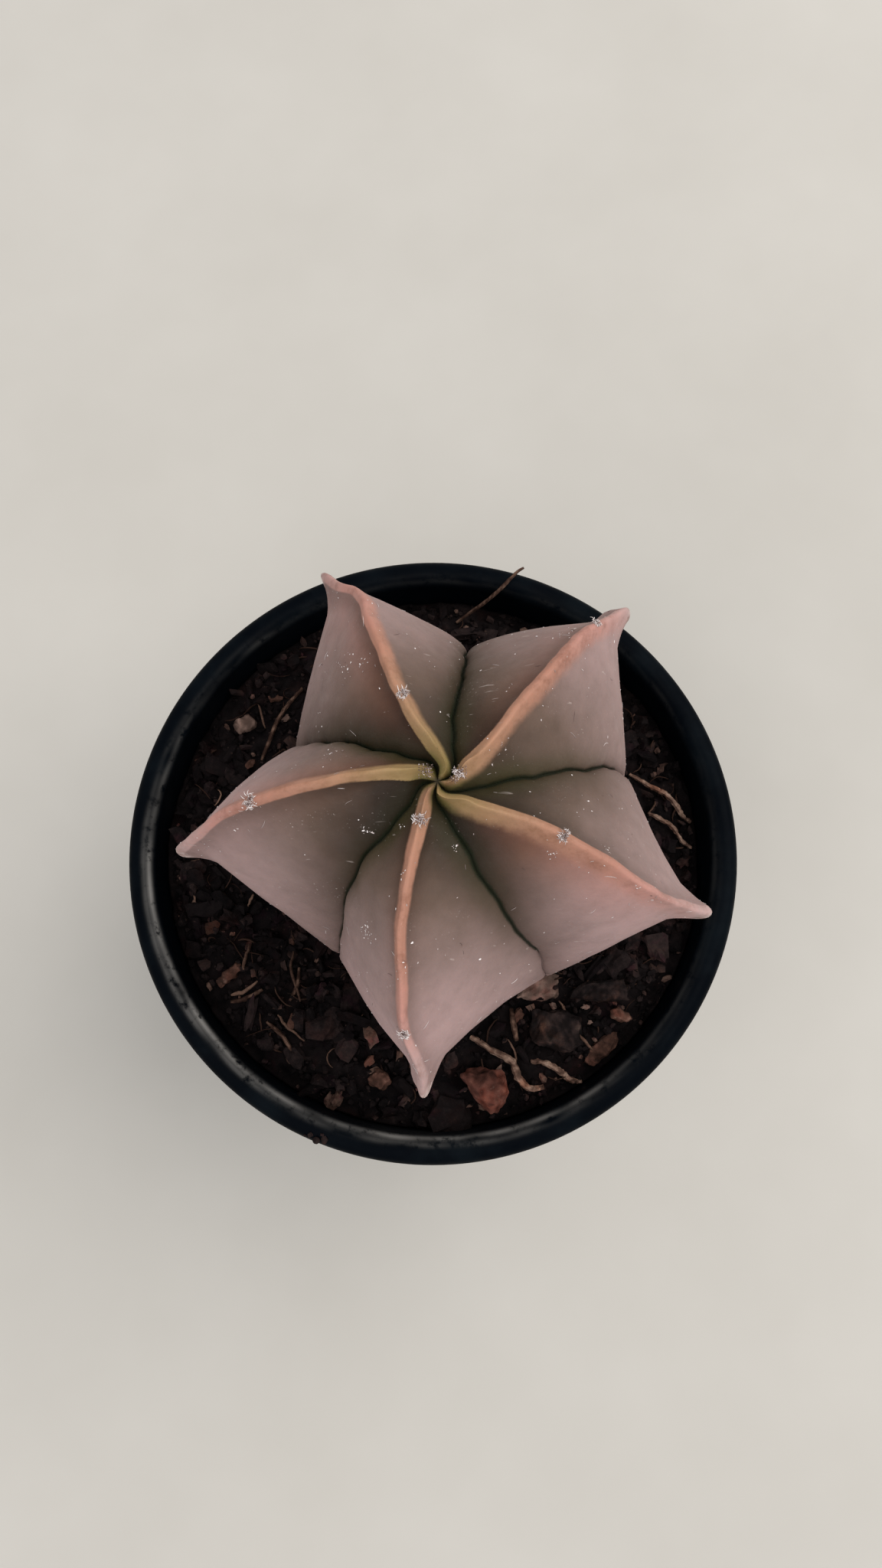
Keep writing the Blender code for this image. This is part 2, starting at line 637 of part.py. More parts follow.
def clear_of_pieces(x, y, reach):
    """Whether a chip of the mix would stay away from the loose pieces, the plant and the wall."""
    if math.hypot(x, y) + reach > pot_inner_radius(SOIL_LEVEL) - 2 * GAP:
        return False
    if (Vector((x, y, 0)) - PLANT_AXIS).length < PLANT_CLEARANCE:
        return False
    for (cx, cy), _, _, _, outline in CHIPS.values():
        widest = max(math.hypot(*point) for point in outline)
        if math.hypot(x - cx * MM, y - cy * MM) < reach + widest * MM:
            return False
    for _, route in STRANDS.values():
        if min(math.hypot(x - px * MM, y - py * MM) for px, py, _ in route) < reach + STRAND_CLEARANCE:
            return False
    return True


def add_mix(soil):
    """Joins the chips of the mix to the soil, sunk well in."""
    rng = random.Random(CHIP_SEED)
    mix = new_collection("mix")
    placed = 0
    while placed < CHIP_COUNT:
        size = Vector((rng.uniform(3.2, 7.0), rng.uniform(1.8, 3.6), rng.uniform(2.0, 3.4))) * MM
        angle = rng.uniform(0, math.tau)
        radius = math.sqrt(rng.uniform(0.2, 1.0)) * pot_inner_radius(SOIL_LEVEL)
        x = radius * math.cos(angle)
        y = radius * math.sin(angle)
        azimuth = rng.uniform(0, 180)
        tilt = rng.uniform(-MIX_TILT, MIX_TILT)
        if not clear_of_pieces(x, y, size.x / 2):
            continue
        bm = hull(chunk(rng, size, MIX_CORNERS))
        bm.transform(chip_frame(x, y, soil_height(x, y) + MIX_LIFT, azimuth, tilt))
        add_object("mix_chip", mesh_from_bmesh("mix_chip", bm), mix)
        placed += 1
    add_boolean(soil, "UNION", mix)
    apply_modifiers(soil)
    remove_collection(mix)


def make_chips(parts, pockets):
    """The loose chips, each in its own pocket of the soil."""
    for row, (name, ((x, y), thickness, tilt, material_name, outline)) in enumerate(CHIPS.items()):
        place = (x * MM, y * MM)
        height = soil_height(*place) + thickness * CHIP_SINK * MM
        frame = chip_frame(*place, height, 0, tilt)
        points = slab(random.Random(row), outline, thickness)
        for grow, owner in ((0.0, parts), (GAP * 1.6, pockets)):
            bm = hull(points, grow)
            bm.transform(frame)
            title = name if owner is parts else name + "_pocket"
            mesh = mesh_from_bmesh(title, bm)
            add_object(title, mesh, owner, material_name if owner is parts else None)


def smooth_route(points):
    """Points along a Catmull-Rom curve through the route's own points."""
    points = [2 * points[0] - points[1]] + points + [2 * points[-1] - points[-2]]
    route = []
    for a, b, c, d in zip(points, points[1:], points[2:], points[3:]):
        for i in range(STRAND_STEPS):
            t = i / STRAND_STEPS
            bend = (2 * a - 5 * b + 4 * c - d) * t * t + (3 * b - a - 3 * c + d) * t ** 3
            route.append((2 * b + (c - a) * t + bend) / 2)
    route.append(points[-2])
    return route


def strand_curve(name, route, radius):
    """A thin tube along a route, slimmer at both ends."""
    curve = bpy.data.curves.new(name, "CURVE")
    curve.dimensions = "3D"
    curve.bevel_depth = radius
    curve.bevel_resolution = 1
    curve.use_fill_caps = True
    spline = curve.splines.new("POLY")
    spline.points.add(len(route) - 1)
    for i, (point, place) in enumerate(zip(spline.points, route)):
        share = i / (len(route) - 1)
        point.co = (*place, 1)
        point.radius = 1 - STRAND_TAPER * (1 - math.sin(math.pi * share))
    return curve


def mesh_of_curve(name, curve):
    """The tube of a curve as a closed mesh."""
    obj = bpy.data.objects.new(name, curve)
    bpy.context.scene.collection.objects.link(obj)
    bpy.context.view_layer.update()
    mesh = bpy.data.meshes.new_from_object(obj.evaluated_get(bpy.context.evaluated_depsgraph_get()))
    bpy.data.objects.remove(obj, do_unlink=True)
    bm = bmesh.new()
    bm.from_mesh(mesh)
    bmesh.ops.remove_doubles(bm, verts=bm.verts[:], dist=0.01 * MM)
    return mesh_from_bmesh(name, bm)


def make_strands(parts, pockets):
    """Twigs and coir strands, each lying in its own groove of the soil."""
    for name, (radius, route) in STRANDS.items():
        points = []
        for x, y, rise in route:
            height = soil_height(x * MM, y * MM) + rise * MM
            points.append(Vector((x * MM, y * MM, height)))
        route = smooth_route(points)
        kind = "twig" if name.startswith("twig") else "coir"
        add_object(name, strand_curve(name, route, radius * MM), parts, kind)
        start = route[0] + (route[0] - route[1]).normalized() * GAP * 1.2
        end = route[-1] + (route[-1] - route[-2]).normalized() * GAP * 1.2
        grown = strand_curve(name, [start] + route + [end], radius * MM + GAP * 1.6)
        add_object(name + "_pocket", mesh_of_curve(name + "_pocket", grown), pockets)


def make_soil(parts, pockets):
    """The soil with its mix, the hole for the plant and the pockets of the loose pieces."""
    soil = soil_body(parts)
    add_mix(soil)
    root_hole(pockets)
    add_boolean(soil, "DIFFERENCE", pockets)
    apply_modifiers(soil)
    keep_largest_piece(soil)
    return soil


def main():
    """Builds the whole object."""
    clear_scene()
    parts = new_collection("potted_bishops_cap_cactus")
    cutters = new_collection("drain_cutters")
    pockets = new_collection("soil_cutters")
    make_pot(parts, cutters)
    make_cactus(parts)
    make_chips(parts, pockets)
    make_strands(parts, pockets)
    make_soil(parts, pockets)


main()
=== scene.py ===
"""Looks of the potted bishop's cap cactus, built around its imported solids.

Metres, +Z up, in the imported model's frame. Azimuths are in degrees, counter-clockwise from +X. Every random
draw has a fixed seed.
"""
import math

import bmesh
import bpy
import numpy as np
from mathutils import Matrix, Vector, noise

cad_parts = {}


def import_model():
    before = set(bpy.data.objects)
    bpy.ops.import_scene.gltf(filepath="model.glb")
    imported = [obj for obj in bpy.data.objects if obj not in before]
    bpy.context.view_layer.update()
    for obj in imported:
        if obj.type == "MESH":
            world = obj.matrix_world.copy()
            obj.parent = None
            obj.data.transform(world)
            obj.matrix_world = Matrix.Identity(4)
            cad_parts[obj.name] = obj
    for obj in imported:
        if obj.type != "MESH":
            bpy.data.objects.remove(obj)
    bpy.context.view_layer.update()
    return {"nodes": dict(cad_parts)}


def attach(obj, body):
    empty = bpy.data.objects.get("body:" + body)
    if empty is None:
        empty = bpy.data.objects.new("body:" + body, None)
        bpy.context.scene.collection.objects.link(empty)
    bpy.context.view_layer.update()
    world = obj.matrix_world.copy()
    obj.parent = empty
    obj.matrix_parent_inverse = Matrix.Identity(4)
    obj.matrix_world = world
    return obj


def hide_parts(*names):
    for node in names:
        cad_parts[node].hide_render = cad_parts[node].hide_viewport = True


MM = 0.001

# The pieces' materials, filled once by make_materials
MATERIALS = {}

# Camera and light: each light's name, place, size, power and colour
CAMERA_PLACE = (0.00118, -0.02735, 0.24711)
CAMERA_TILT = 12
LENS = 27.07
SENSOR_WIDTH = 36
SKY_COLOUR = (0.95, 0.97, 1.0, 1)
SKY_STRENGTH = 0.82
LIT_POINT = (0, 0, 0.08)
LIGHTS = (("key", (0.75, 0.3, 1.1), 1.3, 15, (1.0, 0.98, 0.95)),
          ("fill", (-0.5, -0.8, 1.2), 1.6, 9, (0.98, 0.98, 1.0)))
FLOOR_HALF = 3.0

# Pot
POT_RADIUS = 45.5 * MM
POT_HEIGHT = 74 * MM
LIP_ROLL = 2.05 * MM
WALL = 1.3 * MM
COLLAR_HEIGHT = 9 * MM
COLLAR_TAPER = 0.5 * MM
COLLAR_EDGE = 0.7 * MM
NECK_STEP = 0.4 * MM
NECK_DROP = 0.5 * MM
FLOOR_RADIUS = 31 * MM
FLOOR_TOP = 3 * MM
FLOOR_CORNER = 1.2 * MM
FOOT_HEIGHT = 1.6 * MM
FOOT_WIDTH = 3.4 * MM
FOOT_EDGE = 0.6 * MM
FOOT_TAPER = 0.5 * MM
DRAIN_RADIUS = 2.9 * MM
DRAIN_RING = 18 * MM
DRAIN_COUNT = 4
POT_STEPS = 224
WALL_STEPS = 14
SHARP_ANGLE = 38
NECK_LEVEL = POT_HEIGHT - COLLAR_HEIGHT - WALL
LIP_INSIDE = POT_RADIUS - 2 * LIP_ROLL

# Wear and a painted glint along the lip's inner edge, the glint strongest where the light would catch it: its
# strength by azimuth, its radius, width and wandering, and the place and width of a fainter line outside it
LIP_WEAR_AND_GLINT = ((0, 0.04), (60, 0.03), (120, 0.05), (150, 0.12), (175, 0.5), (195, 0.85), (212, 1.0), (232, 0.8),
            (250, 0.55), (275, 0.6), (295, 0.35), (320, 0.06), (360, 0.04))
WEAR_AND_GLINT_RADIUS = 42.0 * MM
WEAR_AND_GLINT_WIDTH = 0.3 * MM
WEAR_AND_GLINT_DRIFT = 0.25 * MM
FAINT_OFFSET = 0.75 * MM
FAINT_WIDTH = 0.4 * MM
FAINT_SHARE = 0.3

# Crumbs on the lip: azimuth, distance from the pot's middle in mm and size in mm
LIP_CRUMBS = ((248.6, 45.0, 1.0), (247.2, 44.7, 0.6), (250.0, 44.6, 0.7), (249.3, 44.1, 0.45),
              (246.4, 45.1, 0.4))

# Soil
SOIL_GAP = 0.3 * MM
SOIL_LEVEL = POT_HEIGHT - 5 * MM
HEAP_RISE = 1.1 * MM
HEAP_PITCH = 0.09
HEAP_SHIFT = Vector((3.1, 7.7, 0))
LUMP_RISE = 0.55 * MM
LUMP_PITCH = 0.27
LUMP_SHIFT = Vector((9.2, 1.4, 5.0))
EDGE_SINK = 2.2 * MM
EDGE_WIDTH = 5 * MM
EDGE_RADIUS = 41 * MM
RIDGE_DEPTH = 0.35 * MM
RIDGE_PITCH = 2.3 * MM
SOIL_RINGS = 110
SOIL_STEPS = 260
BOTTOM_SHARES = np.array((1, 0.66, 0.33))
CLEAR_OF_PLANT = 12 * MM

# Plant
PLANT_AXIS = np.array((2.6, 4.2, 0)) * MM
PLANT_LEAN = np.array((-0.108, -0.185, 0))
TIP_LEVEL = POT_HEIGHT + 24 * MM
CREST_TOP = POT_HEIGHT + 44 * MM
VALLEY_TOP = POT_HEIGHT + 41 * MM
VALLEY_LEVEL = POT_HEIGHT + 14 * MM
CROWN_FLOOR = POT_HEIGHT + 40.9 * MM
CREST_START = 1.5 * MM
VALLEY_START = 0.9 * MM
CREST_POWER = 2.1
VALLEY_POWER = 1.7
SIDE_POWER = 2.1
CREST_FOOT = 0.6
VALLEY_FOOT = 0.74
ROOT_RADIUS = 7 * MM
ROOT_DEPTH = 22 * MM
KEEL_HEIGHT = 1.15 * MM
KEEL_WIDTH = 1.25 * MM
KEEL_ROUND = 1.15 * MM
NOSE_LENGTH = 2.8 * MM
NOSE_WIDTH = 1.0 * MM
NOSE_SPREAD = 4.5 * MM
SMALL_FLANK = 8 * MM
BROAD_FLANK = 20 * MM
CREASE_CLOSURE = 0.5
PLANT_RINGS = (96, 64, 5)

# Where a flank has its points: distances from the crest in mm, each at most a share of it, then plain shares
FLANK_NEAR = (0, 0.2, 0.4, 0.65, 0.9, 1.2, 1.6, 2.1, 2.8, 3.6)
FLANK_NEAR_SHARE = 0.035
FLANK_FAR = (0.37, 0.42, 0.47, 0.52, 0.57, 0.62, 0.67, 0.72, 0.77, 0.82, 0.865, 0.9, 0.93, 0.955, 0.975,
             0.99, 1)

# Each rib: its tip's distance from the plant's axis in mm, the fullness of its clockwise and
# counter-clockwise flanks in mm, and its crest's azimuths at the stations (distances from the axis in mm).
# Each valley lies counter-clockwise of the rib in the same row: its reach and its cheeks' depth in mm.
STATIONS = (1.5, 3.5, 6, 12, 20, 28, 36)
RIBS = (
    (33.9, (0.6, 1.1), (-8, 27, 32, 42, 46, 47, 43)),
    (33.5, (0.8, 0.7), (38, 81, 100, 111, 112, 115, 135)),
    (36.3, (1.5, 0.3), (130, 157, 167, 179, 185, 189, 196)),
    (39.4, (0.9, -0.7), (238, 248, 251, 254, 258, 261, 265)),
    (36.8, (0.3, 0.3), (283, 323, 330, 336, 335, 332, 333)),
)
VALLEYS = (
    (19.7, 1.3, (14, 58, 74, 80, 84, 82, 82)),
    (21.3, 1.1, (92, 133, 147, 157, 166, 166, 166)),
    (25.2, 0.8, (190, 218, 223, 225, 231, 236, 236)),
    (26.5, 0.6, (262, 280, 288, 292, 295, 298, 298)),
    (22.9, 1.2, (310, 342, 355, 364, 366, 366, 366)),
)

# Small bends of the crests, sideways and upward, of the valleys, of the skin and of the soil's top: pitch in
# mm, seed and size in mm
CREST_BENDS = ((5, 31, 0.28), (1.8, 41, 0.1))
CREST_BUMPS = ((2.6, 51, 0.12),)
VALLEY_BENDS = ((2.4, 81, 0.24), (1.0, 91, 0.1))
SKIN_WAVES = ((7, 61, 0.16), (2.2, 62, 0.045))
SOIL_WAVES = ((1.4, 71, 0.3), (0.7, 72, 0.18))

# Each rib's clockwise and counter-clockwise flank: how pale (painted light, paler on the lit flanks), how
# warm and over how many mm, the stripe's fading in mm, how dark by the crest (painted shade on the shaded
# side), how dark by the valley (painted shade by the cheeks) and over how many mm. Each groove, a line of
# painted shade in
# the crease: its half width and where it ends in mm. Each stripe: how olive it is near the crown, and over
# how many mm.
FLANKS = (
    ((0.1, 0.15, 3.0, 1.7, 0.0, 0.12, 3.0), (0.05, 0.75, 4.0, 0.2, 0.42, 0.46, 3.5)),
    ((0.2, 0.0, 3.0, 1.4, 0.0, 0.72, 3.6), (0.1, 0.95, 6.5, 0.2, 0.5, 0.8, 5.0)),
    ((0.26, 0.8, 4.5, 1.1, 0.0, 0.2, 2.5), (0.06, 0.35, 4.0, 0.2, 0.38, 0.88, 6.5)),
    ((0.12, 0.45, 3.0, 0.8, 0.22, 0.2, 2.0), (0.08, 0.2, 3.0, 0.5, 0.34, 0.6, 3.8)),
    ((0.24, 1.2, 6.0, 2.4, 0.0, 1.0, 6.0), (-0.02, 0.0, 3.0, 0.2, 0.34, 0.42, 3.5)),
)
GROOVES = ((0.75, 40), (0.6, 40), (0.65, 40), (0.7, 23.5), (0.62, 21.5))
YOUNG = (0.3, 0.85, 0.8, 0.05, 0.7)
YOUNG_REACH = 10.0
STRIPE_CORE = 0.92
BULB_CORE = 1.15
BULB_REACH = 6.5

# Pulls on the skin near the tips: where in mm, which way in mm and over how many mm
TIP_PULLS = (
    ((-15.2, 32.6, 99), (-0.5, 0.2, 0.2), 1.3),
    ((-14.2, 29.6, 97), (0.7, 0, 0), 1.5),
    ((22.8, 27.6, 99), (-0.1, 0.8, 0.1), 1.3),
    ((26.4, 27.4, 98), (0.1, -0.5, 0), 1.2),
    ((34.9, -12.0, 99), (0, 0.3, 0.5), 1.4),
    ((-1.9, -32.6, 97), (-0.6, 0.1, 0), 1.3),
    ((-32.0, -5.9, 97), (-0.2, -0.5, 0), 1.4),
)

# Clumps of pale flecks on the skin: azimuth and distance from the axis in mm, how many and over how many mm.
# Single flecks' half sizes, and the lint's lengths and radii, are in mm.
FLECK_CLUMPS = (
    (282, 7.8, 7, 0.25), (243, 20, 22, 0.7), (165, 12.9, 14, 0.7), (327, 15.3, 10, 0.5), (338, 20.9, 12, 0.5),
    (213, 9.8, 12, 0.5), (128, 19.2, 16, 0.9), (122, 17.2, 10, 0.6), (250, 11.5, 8, 0.5), (241, 5.3, 7, 0.4),
    (52, 24, 12, 0.9), (40, 29, 16, 1.2), (330, 28, 10, 0.8),
)
FLECK_COUNT = 330
FLECK_SIZES = (0.03, 0.085)
LINT_COUNT = 110
LINT_LENGTHS = (0.35, 1.5)
LINT_RADII = (0.016, 0.034)
LINT_TAPER = (0.4, 0.9, 1.0, 0.9, 0.4)
LINT_RISE = 0.035 * MM

# Woolly areoles on the crests: the rib's row, the distance from the axis in mm and the tuft's size. The
# hairs' lengths are in mm.
AREOLES_ON_TOP = ((0, 2.8, 0.7), (0, 28.0, 0.8), (1, 10.9, 1.1), (2, 22.0, 1.1), (3, 4.7, 1.2),
                  (3, 29.6, 0.8), (4, 15.8, 1.0))
AREOLES_BELOW = (0.22, 0.62)
TUFT_HAIRS = 64
TUFT_RADIUS = 0.66 * MM
TUFT_BREADTH = 1.25
HAIR_RADIUS = 0.042 * MM
HAIR_TAPER = (1.0, 1.1, 1.0, 0.8, 0.4)
HAIR_LENGTHS = (0.25, 0.62)
HAIR_SINK = 0.2 * MM

# Woolly grains near the crown: the rib's row, the distance from the axis in mm, tone, spread in mm and
# number. Their half sizes are in mm.
WOOL_GRAINS = ((2, 1.5, 0.34, 0.72, 130), (0, 3.0, 0.42, 0.7, 90), (0, 2.2, 0.3, 0.45, 40))
GRAIN_SINK = 0.22 * MM
GRAIN_SIZES = (0.03, 0.075)

# The soil's bits: name, how many, clearance, least and greatest half size in mm, share of width and height,
# tilt, lowest tone and its spread, fineness, boxiness and roughness
MIX = (
    ("soil_crumbs", 2600, 0.7, 0.2, 0.5, (1.0, 1.0), 90, 0.12, 0.19, 1, 0.7, 0.45),
    ("soil_chips", 620, 0.9, 0.45, 1.1, (0.5, 0.35), 50, 0.16, 0.2, 1, 0.55, 0.5),
    ("soil_lumps", 520, 1.5, 0.5, 1.25, (0.9, 0.7), 60, 0.12, 0.13, 2, 0.55, 0.6),
    ("soil_flakes", 300, 2.0, 0.9, 2.3, (0.5, 0.28), 35, 0.16, 0.17, 2, 0.5, 0.6),
)

# Fibres on the soil: how many, lengths and radii in mm, bend, small kinks, tilt in degrees and arch
FIBRES = 230
FIBRE_POINTS = 9
FIBRE_LENGTHS = (1.2, 5.5)
FIBRE_RADII = (0.06, 0.2)
FIBRE_BEND = 1.4
FIBRE_KINKS = 0.16
FIBRE_TILT = 18
FIBRE_ARCH = 0.35 * MM

# Bits that stand out, by kind: place (x, y), length, width and thickness in mm, azimuth, rise in mm and tone
BITS = {
    "soil": (
        (-27.0, -24.4, 5.6, 1.9, 1.2, 80, 0.6, 0.52), (-15.0, -26.6, 4.6, 4.2, 1.8, 20, 0.3, 0.5),
        (3.1, -38.1, 5.4, 4.2, 2.2, 15, 0.4, 0.36), (26.8, -16.7, 3.0, 2.8, 2.0, 40, 0.5, 0.46),
        (29.6, -14.2, 2.6, 2.3, 1.8, 10, 0.5, 0.48), (-12.5, -29.2, 2.8, 2.4, 1.0, 60, 0.6, 0.6),
        (-20.5, -30.0, 3.2, 2.0, 1.2, 130, 0.5, 0.46), (-23.8, -19.0, 2.6, 1.5, 1.0, 30, 0.5, 0.48),
        (31.5, 4.0, 4.0, 2.6, 1.6, 70, 0.4, 0.42), (29.0, 9.5, 3.2, 2.6, 1.4, 20, 0.4, 0.44),
        (-31.0, 8.0, 3.4, 2.6, 1.5, 50, 0.4, 0.42), (8.5, 33.5, 3.4, 2.4, 1.4, 10, 0.4, 0.5),
    ),
    "red_bark": (
        (-33.4, -11.7, 2.6, 1.9, 1.3, 20, 0.5, 0.36), (-21.2, -14.5, 1.7, 1.0, 0.7, 110, 0.6, 0.55),
        (-20.9, -25.3, 2.0, 1.1, 0.8, 60, 0.6, 0.6), (-9.4, -31.4, 1.6, 1.1, 0.8, 40, 0.6, 0.7),
        (12.6, -24.6, 2.6, 1.2, 0.9, 60, 0.6, 0.62), (-28.6, 13.2, 2.4, 1.0, 0.8, 40, 0.6, 0.55),
        (-24.6, 24.0, 1.8, 1.0, 0.7, 10, 0.6, 0.5), (32.4, -5.6, 2.2, 1.2, 0.8, 120, 0.5, 0.45),
    ),
    "pale_bark": (
        (22.5, -23.3, 1.0, 0.8, 0.6, 30, 0.9, 0.62), (25.3, -28.7, 1.2, 0.6, 0.5, 150, 0.9, 0.6),
        (20.3, -25.8, 0.9, 0.7, 0.5, 80, 0.9, 0.55), (23.2, -25.6, 0.8, 0.6, 0.5, 10, 0.9, 0.6),
        (-23.0, 21.0, 1.2, 0.8, 0.5, 60, 0.7, 0.5), (-36.5, 2.0, 1.0, 0.8, 0.5, 20, 0.5, 0.4),
        (17.8, -23.2, 1.1, 0.7, 0.5, 110, 0.8, 0.52), (9.5, -32.4, 1.3, 0.8, 0.6, 35, 0.7, 0.55),
    ),
}

# Fibres that stand out: their points (x, y) and greatest radius in mm, and their tone
PALE_FIBRES = (
    (((-29.9, -21.6), (-27.9, -21.1), (-26.1, -19.6)), 0.34, 0.85),
    (((-28.4, -17.9), (-27.6, -14.1)), 0.28, 0.62), (((-27.1, -6.6), (-27.9, -8.6)), 0.24, 0.85),
    (((-22.9, -24.4), (-21.2, -26.4), (-18.9, -28.2)), 0.24, 0.72),
    (((-19.6, -22.6), (-21.2, -17.4), (-20.8, -14.9)), 0.26, 0.55),
    (((21.6, -27.4), (23.6, -29.6)), 0.26, 0.7), (((18.6, -22.4), (20.2, -24.9), (19.6, -26.6)), 0.22, 0.75),
    (((26.4, -24.6), (28.4, -25.4)), 0.22, 0.8),
)

# The loose pieces' solids and kinds. How a kind is made fine: cuts, roughness and its pitch in mm, softening,
# and how much thinner in mm.
CHIP_NODES = {
    "clay_lump": "clay", "bark_chip_big": "dark_bark", "bark_chip_long": "dark_bark",
    "bark_chip_pale": "pale_bark", "bark_chip_smooth": "red_bark", "bark_chip_reddish": "red_bark",
    "bark_chip_bar": "red_bark", "bark_chip_left": "pale_bark", "bark_chip_rust": "red_bark",
}
STRAND_NODES = {
    "twig_forked": "twig", "twig_lower": "twig", "twig_right_upper": "twig", "twig_right_lower": "twig",
    "strand_left": "coir", "strand_over_lip": "coir", "strand_low_left": "coir", "strand_left_curved": "coir",
    "strand_upright": "coir", "strand_dark": "coir",
}
FINE = {
    "clay": (4, 0.62, 2.2, 1, 0), "dark_bark": (4, 0.42, 1.5, 0, 0), "pale_bark": (4, 0.42, 1.5, 1, 0),
    "red_bark": (4, 0.42, 1.5, 1, 0), "twig": (2, 0.2, 0.9, 0, 0.08), "coir": (2, 0.07, 0.7, 0, 0.02),
}

# Bark, coir and soil: the material's name, its colours along the bits' tone, its grain's scale and relief in
# mm, and its blotches' hues. Each sort of blotch: scale, distortion, and where its edge starts and ends.
GRAINS = {
    "soil": ("soil_mix", (
        (0.0, 0.0018, 0.0015, 0.0016), (0.4, 0.0072, 0.0052, 0.0052), (0.65, 0.021, 0.0138, 0.0128),
        (0.85, 0.036, 0.02, 0.016), (1.0, 0.1, 0.06, 0.046)), 900, 0.22,
        ((1.35, 1.0, 0.92), (1.15, 0.8, 1.0))),
    "clay": ("baked_clay", (
        (0.0, 0.01, 0.005, 0.004), (0.35, 0.04, 0.016, 0.012), (0.6, 0.088, 0.034, 0.025),
        (0.8, 0.135, 0.06, 0.043), (1.0, 0.25, 0.16, 0.125)), 600, 0.3,
        ((1.2, 0.85, 0.75), (0.28, 0.33, 0.38))),
    "dark_bark": ("dark_bark_chips", (
        (0.0, 0.002, 0.0017, 0.0018), (0.5, 0.0085, 0.0062, 0.006), (0.8, 0.024, 0.0155, 0.014),
        (1.0, 0.06, 0.038, 0.03)), 700, 0.3, ((1.5, 1.1, 0.9), (0.8, 0.95, 0.95))),
    "pale_bark": ("pale_bark_chips", (
        (0.0, 0.02, 0.013, 0.01), (0.5, 0.085, 0.054, 0.043), (1.0, 0.21, 0.135, 0.108)), 900, 0.22,
        ((1.2, 0.85, 0.85), (0.5, 0.5, 0.5))),
    "red_bark": ("red_bark_chips", (
        (0.0, 0.008, 0.005, 0.004), (0.5, 0.036, 0.018, 0.013), (0.8, 0.09, 0.043, 0.031),
        (1.0, 0.19, 0.11, 0.085)), 900, 0.22, ((1.2, 0.85, 0.8), (0.4, 0.5, 0.55))),
    "twig": ("twig_bark", (
        (0.0, 0.016, 0.01, 0.008), (0.45, 0.085, 0.048, 0.035), (0.75, 0.21, 0.135, 0.1),
        (1.0, 0.36, 0.26, 0.205)), 1200, 0.22, ((1.15, 0.8, 0.65), (0.5, 0.45, 0.45))),
    "coir": ("coir_fibre", (
        (0.0, 0.008, 0.004, 0.003), (0.5, 0.034, 0.018, 0.013), (1.0, 0.15, 0.088, 0.062)), 1600, 0.1, ()),
}
BLOTCHES = ((240, 0.0, 0.5, 0.68), (330, 0.4, 0.54, 0.7))


def curve_through(x, xs, ys):
    """Smooth values through the points (xs, ys), level beyond both ends."""
    xs = np.asarray(xs, float)
    ys = np.asarray(ys, float)
    slopes = np.gradient(ys, xs)
    x = np.clip(np.asarray(x, float), xs[0], xs[-1])
    i = np.clip(np.searchsorted(xs, x) - 1, 0, len(xs) - 2)
    width = xs[i + 1] - xs[i]
    t = (x - xs[i]) / width
    start = (1 + 2 * t) * (1 - t) ** 2 * ys[i] + t * (1 - t) ** 2 * width * slopes[i]
    end = t * t * (3 - 2 * t) * ys[i + 1] + t * t * (t - 1) * width * slopes[i + 1]
    return start + end


def unit(vectors):
    """Vectors of length one."""
    return vectors / np.maximum(np.linalg.norm(vectors, axis=-1, keepdims=True), 1e-9)


def ripple(points, pitch, seed):
    """Smooth pseudo-random values from about -1 to 1 that change over the pitch, in metres."""
    rng = np.random.default_rng(seed)
    waves = unit(rng.normal(size=(9, 3))) * rng.uniform(0.6, 1.5, (9, 1)) * math.tau / (2.2 * pitch)
    phases = rng.uniform(0, math.tau, 9)
    return np.sin(np.asarray(points) @ waves.T + phases).sum(axis=-1) / 4.5


def places_of(verts):
    """The places of a mesh's vertices."""
    return np.array([vert.co for vert in verts])


def add_object(name, data):
    """A new object in the scene."""
    obj = bpy.data.objects.new(name, data)
    bpy.context.scene.collection.objects.link(obj)
    return obj


def mesh_object(name, verts, face_sets, smooth=True):
    """An object from vertices and arrays of faces, one array for each number of corners."""
    mesh = bpy.data.meshes.new(name)
    mesh.from_pydata(verts, [], [face for faces in face_sets for face in faces.tolist()])
    mesh.polygons.foreach_set("use_smooth", np.full(len(mesh.polygons), smooth))
    mesh.validate()
    return add_object(name, mesh)


def add_values(obj, name, values):
    """A number for each vertex, which the material reads by name."""
    attribute = obj.data.attributes.new(name, "FLOAT", "POINT")
    attribute.data.foreach_set("value", np.asarray(values, np.float32).ravel())


def loft(name, rings, top, end):
    """A closed body from rings of points, with a middle point for its first and its last ring."""
    count = rings.shape[1]
    verts = np.concatenate([rings.reshape(-1, 3), [top, end]])
    grid = np.arange(len(verts) - 2).reshape(-1, count)
    nexts = np.roll(grid, -1, axis=1)
    quads = np.stack([grid[:-1], grid[1:], nexts[1:], nexts[:-1]], axis=-1).reshape(-1, 4)
    first = np.stack([np.full(count, len(verts) - 2), grid[0], nexts[0]], axis=1)
    last = np.stack([np.full(count, len(verts) - 1), nexts[-1], grid[-1]], axis=1)
    return mesh_object(name, verts, (quads, first, last))


def round_rings(radii, heights, steps):
    """Level rings of points round the pot's axis."""
    angles = np.arange(steps) * math.tau / steps
    radii = np.array(radii)[:, None]
    levels = np.repeat(np.array(heights)[:, None], steps, axis=1)
    return np.stack([radii * np.cos(angles), radii * np.sin(angles), levels], axis=2)


def finish_piece(obj, slot, *nodes, look=None):
    """Gives a piece the material of its slot or of its look, hangs it under the root body and hides the
    solids it stands for.
    """
    obj.data.materials.clear()
    obj.data.materials.append(MATERIALS[look or slot])
    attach(obj, "root")
    if nodes:
        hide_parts(*nodes)


class Value:
    """A number or colour in a node tree, which sums and products can be written with."""

    def __init__(self, owner, socket):
        self.owner = owner
        self.socket = socket

    def __add__(self, other):
        return self.owner.math("ADD", self, other)

    def __sub__(self, other):
        return self.owner.math("SUBTRACT", self, other)

    def __mul__(self, other):
        return self.owner.math("MULTIPLY", self, other)


